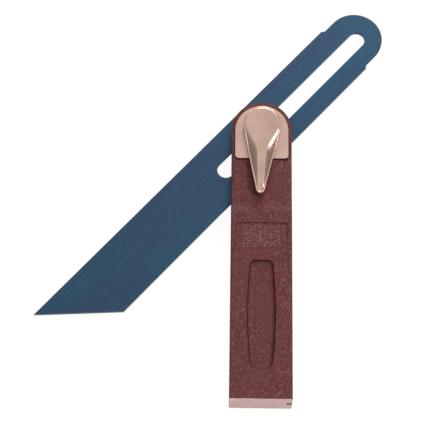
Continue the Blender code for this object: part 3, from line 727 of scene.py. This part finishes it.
def groove_outline(sizes):
    """Barrel-shaped plan of the finger groove."""
    bow = sizes.groove_bow
    widest = -sizes.groove_start - sizes.groove_length * 0.48
    top_corner = sizes.groove_width * 0.183
    end_corner = sizes.groove_width * 0.267
    top = -sizes.groove_start - top_corner
    end = -sizes.groove_start - sizes.groove_length + end_corner

    def side(y):
        return sizes.groove_width / 2 - bow + math.sqrt(bow ** 2 - (y - widest) ** 2)

    def lean(y):
        return math.degrees(math.asin((y - widest) / bow))

    left = [Vector((0, -sizes.groove_start))]
    left += arc((-side(top) + top_corner, top), top_corner, 90, 180 - lean(top), 12)
    side_steps = 30
    for step in range(1, side_steps):
        y = top + (end - top) * step / side_steps
        left.append(Vector((-side(y), y)))
    left += arc((-side(end) + end_corner, end), end_corner, 180 - lean(end), 270, 12)
    return mirrored(left)


def label_outline(sizes):
    """Plan of the label recess, an oblong with small round corners."""
    half = sizes.label_width / 2
    top = -sizes.label_start
    end = top - sizes.label_length
    corners = ((-half, top), (-half, end), (half, end), (half, top))
    return filleted([(x, y, sizes.label_corner) for x, y in corners])


def shield(margin, corner):
    """Arched outline of the front plate, grown by a margin on every side."""
    half = PLATE_HIGH.x + margin
    radius = corner + margin
    left = arc((0, PLATE_CENTRE), half, 90, 180, ARCH_STEPS)
    left += arc((-half + radius, PLATE_FOOT - margin + radius), radius, 180, 270, 8)
    return mirrored(left)


def spigot_places(plate):
    """Places of the two pins on the front plate's back."""
    across = PLATE_HIGH.x - plate.spigot_inset
    return [Matrix.Translation((side * across, PLATE_FOOT + plate.spigot_inset, 0)) for side in (-1, 1)]


def slot_cutter(sizes):
    """Blade slot through both long edges, with its run-out at the end's right-hand corner."""
    half = (BLADE_HIGH.z - BLADE_LOW.z) / 2 + sizes.slot_gap
    side = HALF_WIDTH + OVERRUN
    foot = STOCK_END + sizes.slot_wall
    runout = HALF_WIDTH - sizes.runout_width
    outline = filleted([(-side, side, 0), (-side, foot, 0), (runout, foot, sizes.runout_corner),
                        (runout, STOCK_END - OVERRUN, 0), (side, STOCK_END - OVERRUN, 0), (side, side, 0)])
    return prism(outline, BOLT.z - half, BOLT.z + half)


def square_outline(width):
    """Square outline about the bolt's axis."""
    half = width / 2
    return [Vector((-half, half)), Vector((-half, -half)), Vector((half, -half)), Vector((half, half))]


def hexagon_outline(across_flats):
    """Hexagon about the bolt's axis from its width across flats."""
    return arc((0, 0), across_flats / 2 / math.cos(math.pi / 6), 0, 360, 6)[:-1]


class BEVEL_OT_stock(bpy.types.Operator):
    """Make the moulded stock with its slot, recesses and finger grooves"""
    bl_idname = "bevel.stock"
    bl_label = "Stock"

    def execute(self, context):
        sizes = context.scene.bevel_stock
        plate = context.scene.bevel_plate
        clamp = context.scene.bevel_clamp
        gap = sizes.slot_gap
        stock = to_object("moulded_stock", stock_blank(sizes))
        on_front = Matrix.Translation((0, 0, STOCK_TOP))
        on_back = Matrix.Rotation(math.pi, 4, "Y")
        groove = groove_outline(sizes)
        label = label_outline(sizes)
        head = STOCK_TOP - sizes.head_relief
        tools = [(slot_cutter(sizes), None)]
        for face in (on_front, on_back):
            tools.append((lipped_cutter(groove, sizes.groove_depth, sizes.groove_lip, sizes.groove_cove,
                                        sizes.groove_run), face))
        tools.append((lipped_cutter(label, sizes.label_depth, sizes.label_lip, sizes.label_cove), on_front))
        plate_floor = PLATE_HIGH.z - plate.thickness - gap
        tools.append((lipped_cutter(shield(gap, plate.corner), head - plate_floor, sizes.plate_lip),
                      Matrix.Translation((0, 0, head))))
        for place in spigot_places(plate):
            tools.append((pin(plate.spigot_radius + gap, PLATE_LOW.z - gap, head, 32), place))
        floor = WASHER_HIGH.z + gap
        neck = square_outline(clamp.neck_width + 2 * gap)
        neck_top = BOLT_LOW.z + clamp.head_height + clamp.neck_height + gap
        tools += [(pin(WASHER_HIGH.x - BOLT.x + gap, -OVERRUN, floor), None),
                  (prism(neck, floor / 2, neck_top), None),
                  (pin(plate.bore, -OVERRUN, STOCK_TOP + OVERRUN), None)]
        carved(stock, tools)
        stock.data.transform(ON_BOLT)
        smoothed(stock, angle=24)
        mark_stock(stock, 2 * sizes.edge_radius)
        seat(stock, FINISHES["wine"], "stock", "stock_plastic", "stock")
        return {"FINISHED"}


def pip_tree():
    """Node group that strews small flat domes over a face."""
    tree, given = new_group("stipple", ("Spacing", "Radius"), ("Seed",))
    points = output(tree, "GeometryNodeDistributePointsOnFaces", {
        "Mesh": given["Geometry"], "Distance Min": given["Spacing"], "Density Max": 2.2e6,
        "Seed": given["Seed"]}, distribute_method="POISSON")
    dome = output(tree, "GeometryNodeMeshIcoSphere", {"Radius": 1.0, "Subdivisions": 2})
    low = output(tree, "GeometryNodeTransform", {"Geometry": dome, "Scale": (1.0, 1.0, 0.55)})
    size = node(tree, "FunctionNodeRandomValue", {2: 0.45, 3: 1.0, "Seed": given["Seed"]}).outputs[1]
    scale = sums(tree, "MULTIPLY", size, given["Radius"])
    pips = output(tree, "GeometryNodeInstanceOnPoints", {"Points": points, "Instance": low, "Scale": scale})
    return close_group(tree, pips, given["Material"])


class BEVEL_OT_label(bpy.types.Operator):
    """Fill the label recess with a plain stipple of moulded pips"""
    bl_idname = "bevel.label"
    bl_label = "Label stipple"

    def execute(self, context):
        stock = context.scene.bevel_stock
        sizes = context.scene.bevel_label
        half = stock.label_width / 2 - sizes.side_margin
        top = -stock.label_start - sizes.end_margin
        end = -stock.label_start - stock.label_length + sizes.end_margin
        bm = bmesh.new()
        corners = [(-half, end), (half, end), (half, top), (-half, top)]
        bm.faces.new([bm.verts.new((x, y, STOCK_TOP - stock.label_depth)) for x, y in corners])
        pips = to_object("label_stipple", bm)
        grown(pips, pip_tree(), {"Spacing": sizes.pitch, "Radius": sizes.radius, "Seed": sizes.seed,
                                 "Material": FINISHES["pips"]})
        pips.data.transform(ON_BOLT)
        pips.data.shade_smooth()
        seat(pips, FINISHES["pips"], "stock", "stock_plastic")
        return {"FINISHED"}


def plate_tree():
    """Node group that turns corner outlines into a flat plate: filleted, filled and thickened."""
    tree, given = new_group("rounded_plate", ("Thickness",), ("Corner Steps",))
    outline = output(tree, "GeometryNodeMeshToCurve", {"Mesh": given["Geometry"]})
    radius = output(tree, "GeometryNodeInputNamedAttribute", {"Name": "corner"}, data_type="FLOAT")
    soft = output(tree, "GeometryNodeFilletCurve", {
        "Curve": outline, "Count": given["Corner Steps"], "Radius": radius, "Limit Radius": True},
                  mode="POLY")
    sheet = output(tree, "GeometryNodeFillCurve", {"Curve": soft}, mode="NGONS")
    thick = output(tree, "GeometryNodeExtrudeMesh", {
        "Mesh": sheet, "Offset Scale": given["Thickness"], "Individual": False}, mode="FACES")
    under = output(tree, "GeometryNodeFlipFaces", {"Mesh": sheet})
    both = node(tree, "GeometryNodeJoinGeometry")
    for side in (thick, under):
        tree.links.new(side, both.inputs[0])
    whole = output(tree, "GeometryNodeMergeByDistance", {"Geometry": both.outputs[0], "Distance": WELD})
    return close_group(tree, whole, given["Material"])


def plate_piece(name, outlines, low, high, material, steps=16):
    """Flat piece between two heights from outlines of corners given as x, y and radius."""
    bm = bmesh.new()
    layer = bm.verts.layers.float.new("corner")
    for corners in outlines:
        row = []
        for x, y, radius in corners:
            vert = bm.verts.new((x, y, 0))
            vert[layer] = radius
            row.append(vert)
        for index, vert in enumerate(row):
            bm.edges.new((row[index - 1], vert))
    piece = to_object(name, bm)
    tree = bpy.data.node_groups.get("rounded_plate") or plate_tree()
    grown(piece, tree, {"Thickness": high - low, "Corner Steps": steps, "Material": material})
    piece.data.transform(Matrix.Translation((0, 0, low)))
    return piece


def box_corners(half_width, half_length, radius=0):
    """Corners of a box about the bolt's axis, each with a radius."""
    return [(x, y, radius) for x, y in ((-half_width, -half_length), (half_width, -half_length),
                                        (half_width, half_length), (-half_width, half_length))]


def round_hole(radius):
    """Corners that fillet into a circle about the bolt's axis."""
    return box_corners(radius, radius, radius)


class BEVEL_OT_front_plate(bpy.types.Operator):
    """Make the arched front plate with its two cast spigots"""
    bl_idname = "bevel.front_plate"
    bl_label = "Front plate"

    def execute(self, context):
        sizes = context.scene.bevel_plate
        half = PLATE_HIGH.x
        top = PLATE_HIGH.y - BOLT.y
        outline = [(half, top, half), (-half, top, half), (-half, PLATE_FOOT, sizes.corner),
                   (half, PLATE_FOOT, sizes.corner)]
        plate = plate_piece("shield_plate", [outline, round_hole(sizes.bore)], PLATE_HIGH.z - sizes.thickness,
                            PLATE_HIGH.z, FINISHES["satin"], 40)
        pin_top = PLATE_HIGH.z - sizes.thickness / 2
        carved(plate, [(pin(sizes.spigot_radius, PLATE_LOW.z, pin_top, 32), place)
                       for place in spigot_places(sizes)], "UNION")
        plate.data.transform(ON_BOLT)
        smoothed(plate, angle=40, bevel=sizes.rim, segments=4)
        seat(plate, FINISHES["satin"], "stock", "zinc_alloy", "front_plate")
        return {"FINISHED"}


def lever_outlines(sizes):
    """Left halves of the lever's outer outline and of its top face, point for point."""
    head = LEVER_HIGH.x - BOLT.x
    span = sizes.span
    taper = math.degrees(math.asin((head - sizes.tip_radius) / span))
    face_radius = head - sizes.face_inset

    def face_width(y):
        along = min(max(-y / span, 0), 1)
        ridge = sizes.ridge_root / 2 + (sizes.ridge_tip - sizes.ridge_root) / 2 * along
        return ridge + (face_radius - ridge) * ease(1 + y / sizes.blend)

    outer = arc((0, 0), head, 90, 180, HEAD_STEPS)
    face = arc((0, 0), face_radius, 90, 180, HEAD_STEPS)
    start = arc((0, 0), head, 180, 180 + taper, 1)[1]
    end = arc((0, -span), sizes.tip_radius, 180 + taper, 270, TIP_STEPS)
    tail_steps = 96
    for step in range(tail_steps):
        place = start.lerp(end[0], step / tail_steps)
        outer.append(place)
        face.append(Vector((-face_width(place.y), place.y)))
    outer += end
    face += arc((0, -span), sizes.ridge_tip / 2, 180 + taper, 270, TIP_STEPS)
    return outer, face


def throat(sizes, y):
    """Share from 0 to 1 that peaks where the head narrows into the ridge."""
    head = ease(1 + y / sizes.blend)
    return 4 * head * (1 - head)


def lever_section(sizes, edge, inner):
    """Points up one side of the lever: upright rim, beaded edge, and the flank up to the top face."""
    inward = inner - edge
    width = inward.length
    inward.normalize()
    along = min(max(-edge.y / sizes.span, 0), 1)
    nose = max(along * 10 - 9, 0)
    drop = sizes.bead_radius * (1 - math.sin(sizes.bead_sweep))
    top = LEVER_HIGH.z - LEVER_LOW.z - drop - sizes.tail_drop * along - sizes.nose_drop * nose ** 2
    top -= sizes.shoulder * throat(sizes, edge.y)
    rounding = sizes.flank_round * max(ease(1 + edge.y / sizes.blend), sizes.tail_share)
    foot = top - math.tan(sizes.flank_slope) * max(width - sizes.head_rim, 0)
    points = [(edge.x, edge.y, 0)]
    bead_steps = 10
    for step in range(bead_steps + 1):
        angle = sizes.bead_sweep * step / bead_steps
        land = sizes.bead_land if angle > math.pi / 2 else 0
        place = edge + inward * (sizes.bead_radius * (1 - math.cos(angle)) + land)
        points.append((place.x, place.y, foot + drop - sizes.bead_radius * (1 - math.sin(angle))))
    flank_steps = 14
    for step in range(1, flank_steps + 1):
        part = step / flank_steps
        flank = place.lerp(inner, part)
        points.append((flank.x, flank.y, foot + (top - foot) * part * (1 + rounding * (1 - part))))
    return points


def dished_face(bm, row, half_count, sizes):
    """Top face across the lever, sunk in the middle of the head and crowned along the ridge."""
    across = 18
    lines = []
    for index in range(half_count):
        left = row[index]
        right = row[-index] if index else row[0]
        if index in (0, half_count - 1):
            lines.append([left])
            continue
        head = ease(1 + left.co.y / sizes.blend)
        dish = sizes.dish * (1 - max(left.co.y / LEVER_HIGH.x, 0) ** 2)
        depth = dish * head - sizes.ridge_crown * (1 - head)
        rise = sizes.shoulder * throat(sizes, left.co.y)
        line = [left]
        for step in range(1, across):
            part = step / across
            place = left.co.lerp(right.co, part)
            side = abs(2 * part - 1)
            place.z += rise * (1 - max(side * 3 - 2, 0) ** 2) - depth * (1 - side ** 2)
            line.append(bm.verts.new(place))
        lines.append(line + [right])
    for upper, lower in zip(lines, lines[1:]):
        for step in range(across):
            corners = [upper[min(step, len(upper) - 1)], lower[min(step, len(lower) - 1)],
                       lower[min(step + 1, len(lower) - 1)], upper[min(step + 1, len(upper) - 1)]]
            bm.faces.new([vert for place, vert in enumerate(corners) if vert not in corners[:place]])


def lever_blank(sizes):
    """Teardrop lever before its pockets, lofted from the sections up its left side and their mirrors."""
    outer, face = lever_outlines(sizes)
    sections = [lever_section(sizes, edge, inner) for edge, inner in zip(outer, face)]
    mirror = [[(-x, y, z) for x, y, z in section] for section in reversed(sections[1:-1])]
    bm = bmesh.new()
    rows = skin(bm, list(zip(*(sections + mirror))))
    bm.faces.new(list(reversed(rows[0])))
    dished_face(bm, rows[-1], len(outer), sizes)
    return bm


def hollow_outline(sizes):
    """Plan of the hollow under the lever's tail, which narrows with it."""
    slope = (LEVER_HIGH.x - sizes.tip_radius) / sizes.span
    start = -LEVER_HIGH.x - sizes.hollow_wall
    stop = -sizes.span + sizes.tip_radius
    wide, narrow = (LEVER_HIGH.x + y * slope - sizes.hollow_wall for y in (start, stop))
    return filleted([(-wide, start, sizes.hollow_wall), (-narrow, stop, 0), (narrow, stop, 0),
                     (wide, start, sizes.hollow_wall)])


class BEVEL_OT_lever(bpy.types.Operator):
    """Make the teardrop lever, hollow underneath"""
    bl_idname = "bevel.lever"
    bl_label = "Lever"

    def execute(self, context):
        sizes = context.scene.bevel_lever
        gap = context.scene.bevel_stock.slot_gap
        hexagon = hexagon_outline(context.scene.bevel_clamp.insert_width + 2 * gap)
        lever = to_object("teardrop_lever", lever_blank(sizes))
        carved(lever, [
            (pin(SPRING_HIGH.x + gap, -OVERRUN, INSERT_LOW.z - LEVER_LOW.z), None),
            (prism(hexagon, -OVERRUN, INSERT_HIGH.z + gap - LEVER_LOW.z), None),
            (prism(hollow_outline(sizes), -OVERRUN, sizes.hollow_depth), None),
        ])
        turn = Matrix.Rotation(sizes.rest_angle, 4, "Z")
        lever.data.transform(Matrix.Translation((BOLT.x, BOLT.y, LEVER_LOW.z)) @ turn)
        smoothed(lever, angle=34)
        seat(lever, FINISHES["polished"], "lever", "zinc_alloy", "lever")
        return {"FINISHED"}


class BEVEL_OT_blade(bpy.types.Operator):
    """Make the slotted blade with its cut end and round tang"""
    bl_idname = "bevel.blade"
    bl_label = "Blade"

    def execute(self, context):
        sizes = context.scene.bevel_blade
        left = -sizes.width / 2 - sizes.slot_offset
        right = sizes.width / 2 - sizes.slot_offset
        tang = sizes.tang_width / 2
        step = sizes.width / 2 - tang
        slot_head = sizes.slot_span - sizes.slot_foot
        top = slot_head + tang
        shoulder = top - sizes.tang_length
        tip = top - sizes.length
        heel = tip + sizes.width / math.tan(sizes.cut_angle)
        outline = [(right, heel, 0), (right, shoulder, sizes.shoulder),
                   (right - step, shoulder + step, sizes.shoulder), (right - step, top, tang),
                   (left + step, top, tang), (left + step, shoulder + step, sizes.shoulder),
                   (left, shoulder, sizes.shoulder), (left, tip, 0)]
        half = sizes.slot_width / 2
        low, high = -sizes.slot_foot - half, slot_head + half
        slot = [(half, low, half), (half, high, half), (-half, high, half), (-half, low, half)]
        blade = plate_piece("slotted_blade", [outline, slot], BLADE_LOW.z, BLADE_HIGH.z, FINISHES["blued"],
                            28)
        blade.data.transform(ON_BLADE)
        smoothed(blade, angle=30, bevel=sizes.edge, band=sizes.wear_and_painted_light)
        mark_edges(blade)
        seat(blade, FINISHES["blued"], "blade", "blued_steel", "blade")
        return {"FINISHED"}


def thread_tree():
    """Node group that winds a thread of six-sided section up a cylinder."""
    tree, given = new_group("screw_thread", ("Radius", "Height", "Pitch", "Turns", "Foot"))
    climb = sums(tree, "MULTIPLY", given["Pitch"], given["Turns"])
    helix = output(tree, "GeometryNodeCurveSpiral", {
        "Resolution": 40, "Rotations": given["Turns"], "Start Radius": given["Radius"],
        "End Radius": given["Radius"], "Height": climb})
    tooth = output(tree, "GeometryNodeCurvePrimitiveCircle", {"Resolution": 6, "Radius": given["Height"]},
                   mode="RADIUS")
    wound = output(tree, "GeometryNodeCurveToMesh", {
        "Curve": helix, "Profile Curve": tooth, "Fill Caps": True})
    lift = output(tree, "ShaderNodeCombineXYZ", {"Z": given["Foot"]})
    put = output(tree, "GeometryNodeTransform", {"Geometry": wound, "Translation": lift})
    return close_group(tree, put, given["Material"])


def wave_tree():
    """Node group that makes a wave washer from its radii, thickness and waves."""
    tree, given = new_group("wave_washer", ("Inner", "Outer", "Thickness", "Wave", "Waves"))
    middle = sums(tree, "MULTIPLY", sums(tree, "ADD", given["Inner"], given["Outer"]), 0.5)
    circle = output(tree, "GeometryNodeCurvePrimitiveCircle", {"Resolution": 96, "Radius": middle},
                    mode="RADIUS")
    strip = output(tree, "GeometryNodeCurvePrimitiveQuadrilateral", {
        "Width": sums(tree, "SUBTRACT", given["Outer"], given["Inner"]), "Height": given["Thickness"]})
    flat = output(tree, "GeometryNodeCurveToMesh", {"Curve": circle, "Profile Curve": strip})
    where = node(tree, "ShaderNodeSeparateXYZ", {"Vector": output(tree, "GeometryNodeInputPosition")}).outputs
    angle = sums(tree, "MULTIPLY", sums(tree, "ARCTAN2", where["Y"], where["X"]), given["Waves"])
    lift = sums(tree, "MULTIPLY", sums(tree, "SINE", angle), given["Wave"])
    bent = output(tree, "GeometryNodeSetPosition", {
        "Geometry": flat, "Offset": output(tree, "ShaderNodeCombineXYZ", {"Z": lift})})
    return close_group(tree, bent, given["Material"])


class BEVEL_OT_clamp(bpy.types.Operator):
    """Make the clamp's inner pieces: bolt, back washer, slide block, insert and spring washer"""
    bl_idname = "bevel.clamp"
    bl_label = "Clamp pieces"

    def execute(self, context):
        scene = context.scene
        sizes = scene.bevel_clamp
        steel = FINISHES["steel"]
        self.make_bolt(sizes, steel)
        hole = round_hole(scene.bevel_plate.bore)
        neck = sizes.neck_width / 2 + scene.bevel_stock.slot_gap
        half = scene.bevel_blade.slot_width / 2 - sizes.block_gap
        ring = [round_hole(WASHER_HIGH.x - BOLT.x), box_corners(neck, neck)]
        key = [box_corners(half, sizes.block_reach, half), hole]
        hexagon = [[(*place, 0) for place in hexagon_outline(sizes.insert_width)], hole]
        in_lever = ON_BOLT @ Matrix.Rotation(scene.bevel_lever.rest_angle, 4, "Z")
        for name, outlines, low, high, steps, place, edge, body, stands_for in (
                ("square_hole_washer", ring, WASHER_LOW, WASHER_HIGH, 20, ON_BOLT, sizes.washer_edge, "stock",
                 "back_washer"),
                ("slide_key", key, BLADE_LOW, BLADE_HIGH, 20, ON_BLADE, sizes.block_edge, "slide_block",
                 "slide_block"),
                ("hexagon_insert", hexagon, INSERT_LOW, INSERT_HIGH, 16, in_lever, sizes.block_edge, "lever",
                 "lever_insert")):
            piece = plate_piece(name, outlines, low.z, high.z, steel, steps)
            piece.data.transform(place)
            smoothed(piece, angle=40, bevel=edge)
            seat(piece, steel, body, "plain_steel", stands_for)
        spring = to_object("wave_washer", bmesh.new())
        wave = (SPRING_HIGH.z - SPRING_LOW.z - sizes.spring_thickness) / 2
        grown(spring, wave_tree(), {"Inner": sizes.spring_inner, "Outer": SPRING_HIGH.x, "Wave": wave,
                                    "Thickness": sizes.spring_thickness, "Waves": float(sizes.spring_waves),
                                    "Material": steel})
        spring.data.transform(Matrix.Translation((BOLT.x, BOLT.y, (SPRING_LOW.z + SPRING_HIGH.z) / 2)))
        smoothed(spring, angle=40)
        seat(spring, steel, "lever", "plain_steel", "spring_washer")
        return {"FINISHED"}

    def make_bolt(self, sizes, steel):
        """Bolt with a crowned head, a square neck and a wound thread."""
        head_top = BOLT_LOW.z + sizes.head_height
        radius = BOLT_HIGH.x - BOLT.x
        crown = arc((radius - sizes.head_crown, BOLT_LOW.z + sizes.head_crown), sizes.head_crown, 270, 360, 8)
        profile = [(0, BOLT_LOW.z), *(tuple(place) for place in crown), (radius, head_top),
                   (sizes.bolt_radius, head_top), (sizes.bolt_radius, BOLT_HIGH.z - sizes.bolt_point),
                   (sizes.bolt_radius - sizes.bolt_point, BOLT_HIGH.z), (0, BOLT_HIGH.z)]
        bolt = to_object("crowned_bolt", turned(profile))
        neck_top = head_top + sizes.neck_height
        neck = prism(square_outline(sizes.neck_width), head_top - sizes.head_crown, neck_top)
        carved(bolt, [(neck, None)], "UNION")
        bolt.data.transform(ON_BOLT)
        smoothed(bolt, angle=32)
        seat(bolt, steel, "clamp_bolt", "plain_steel", "clamp_bolt")
        thread = to_object("bolt_thread", bmesh.new())
        foot = neck_top + sizes.thread_pitch
        turns = (BOLT_HIGH.z - foot) / sizes.thread_pitch - 1
        grown(thread, thread_tree(), {"Radius": sizes.bolt_radius, "Height": sizes.thread_height,
                                      "Pitch": sizes.thread_pitch, "Turns": turns, "Foot": foot,
                                      "Material": steel})
        thread.data.transform(ON_BOLT)
        smoothed(thread, angle=50)
        seat(thread, steel, "clamp_bolt", "plain_steel")


def floor_finish():
    """Pale floor that reads as white in the picture and in reflections, with the object's shadow kept."""
    made = bpy.data.materials.new("pale_floor")
    made.use_nodes = True
    tree = made.node_tree
    tree.nodes.clear()
    path = node(tree, "ShaderNodeLightPath").outputs
    mirrored_rays = sums(tree, "MAXIMUM", path["Is Glossy Ray"], path["Is Transmission Ray"])
    seen = sums(tree, "MAXIMUM", path["Is Camera Ray"], mirrored_rays)
    plain, lit = (output(tree, "ShaderNodeBsdfDiffuse", {"Color": (grey, grey, grey, 1)})
                  for grey in (0.62, 0.12))
    glow = output(tree, "ShaderNodeEmission", {"Color": (1, 1, 1, 1), "Strength": 0.93})
    white = output(tree, "ShaderNodeAddShader", {0: lit, 1: glow})
    mixed = output(tree, "ShaderNodeMixShader", {0: seen, 1: plain, 2: white})
    node(tree, "ShaderNodeOutputMaterial", {"Surface": mixed})
    return made


def studio_world():
    """World light: an even room with a broad soft panel overhead and a small bright pane beside it."""
    world = bpy.data.worlds.new("studio")
    world.use_nodes = True
    tree = world.node_tree
    tree.nodes.clear()
    way = node(tree, "ShaderNodeSeparateXYZ", {
        "Vector": node(tree, "ShaderNodeTexCoord").outputs["Generated"]}).outputs
    height = sums(tree, "MAXIMUM", way["Z"], 0.05)
    across = sums(tree, "DIVIDE", way["X"], height)
    along = sums(tree, "DIVIDE", way["Y"], height)

    def window(*borders):
        """Soft-edged pane of the sky between four borders, each as where it starts and where it is full."""
        pane = 1.0
        for value, (start, full) in zip((across, across, along, along), borders):
            pane = sums(tree, "MULTIPLY", pane, ramp(tree, value, start, full))
        return pane

    panel = window((-0.95, -0.15), (0.75, 0.60), (-0.70, -0.50), (1.30, 1.10))
    side = window((0.26, 0.40), (1.00, 0.85), (-0.24, -0.14), (0.22, 0.10))
    slant = spread(tree, ramp(tree, across, -0.4, 0.5), 0.38, 0.70)
    level = sums(tree, "ADD", sums(tree, "MULTIPLY", panel, slant), 0.34)
    level = sums(tree, "ADD", level, sums(tree, "MULTIPLY", side, 1.8))
    sky = output(tree, "ShaderNodeBackground", {"Color": (1, 1, 1, 1), "Strength": level})
    node(tree, "ShaderNodeOutputWorld", {"Surface": sky})
    return world


def set_out(name, data, place, aim):
    """Object in the scene at a place, turned towards a point."""
    made = bpy.data.objects.new(name, data)
    made.location = place
    made.rotation_euler = (Vector(aim) - Vector(place)).to_track_quat("-Z", "Y").to_euler()
    bpy.context.scene.collection.objects.link(made)
    return made


class BEVEL_OT_stage(bpy.types.Operator):
    """Make the floor, the lamps, the world and the camera"""
    bl_idname = "bevel.stage"
    bl_label = "Stage"

    def execute(self, context):
        scene = context.scene
        stage = scene.bevel_stage
        bm = bmesh.new()
        bmesh.ops.create_grid(bm, x_segments=8, y_segments=8, size=stage.floor_size / 2)
        floor = to_object("floor", bm, Matrix.Translation((0, 0, CAD_LOW[2] - FLOOR_GAP)))
        floor.data.materials.append(floor_finish())
        for name, (place, size) in LAMPS.items():
            lamp = bpy.data.lights.new(name, "AREA")
            lamp.energy = getattr(stage, name + "_power")
            lamp.size = size
            set_out(name, lamp, place, (BOLT.x, 0.0, STOCK_TOP / 2))
        scene.world = studio_world()
        scene.view_settings.view_transform = "Standard"
        lens = bpy.data.cameras.new("camera")
        lens.lens = stage.lens
        lens.sensor_width = 36.0
        scene.camera = set_out("camera", lens, stage.camera_place, stage.aim)
        return {"FINISHED"}


class BEVEL_PT_panel(bpy.types.Panel):
    bl_label = "Sliding Bevel"
    bl_idname = "BEVEL_PT_panel"
    bl_space_type = "VIEW_3D"
    bl_region_type = "UI"
    bl_category = "Bevel"

    def draw(self, context):
        for operator in OPERATORS:
            self.layout.operator(operator.bl_idname)


GROUPS = {
    "bevel_stock": StockSizes,
    "bevel_label": LabelSizes,
    "bevel_plate": PlateSizes,
    "bevel_lever": LeverSizes,
    "bevel_blade": BladeSizes,
    "bevel_clamp": ClampSizes,
    "bevel_finish": FinishColours,
    "bevel_stage": StageSettings,
}
OPERATORS = (BEVEL_OT_stage, BEVEL_OT_stock, BEVEL_OT_label, BEVEL_OT_front_plate, BEVEL_OT_lever,
             BEVEL_OT_blade, BEVEL_OT_clamp)
CLASSES = (*GROUPS.values(), *OPERATORS, BEVEL_PT_panel)


def register():
    """Register every class and hang the property groups on the scene."""
    for item in CLASSES:
        bpy.utils.register_class(item)
    for name, group in GROUPS.items():
        setattr(bpy.types.Scene, name, PointerProperty(type=group))


def unregister():
    """Undo what register did."""
    for name in GROUPS:
        delattr(bpy.types.Scene, name)
    for item in reversed(CLASSES):
        bpy.utils.unregister_class(item)


def main():
    """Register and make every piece."""
    register()
    colours = bpy.context.scene.bevel_finish
    FINISHES.update(
        wine=wine_plastic(colours, "wine_plastic", wear_and_painted_light=0.0),
        # pips: worn pale with a painted highlight
        pips=wine_plastic(colours, "rubbed_plastic", wear_and_painted_light=0.75),
        blued=blued_steel(colours),
        satin=zinc_alloy(colours, "satin_zinc", low_rough=0.20, high_rough=0.30, grain=0.5),
        polished=zinc_alloy(colours, "polished_zinc", low_rough=0.14, high_rough=0.22, grain=0.2),
        steel=plain_steel(colours),
    )
    for operator in OPERATORS:
        group, name = operator.bl_idname.split(".")
        getattr(getattr(bpy.ops, group), name)()


if __name__ == "__main__":
    main()
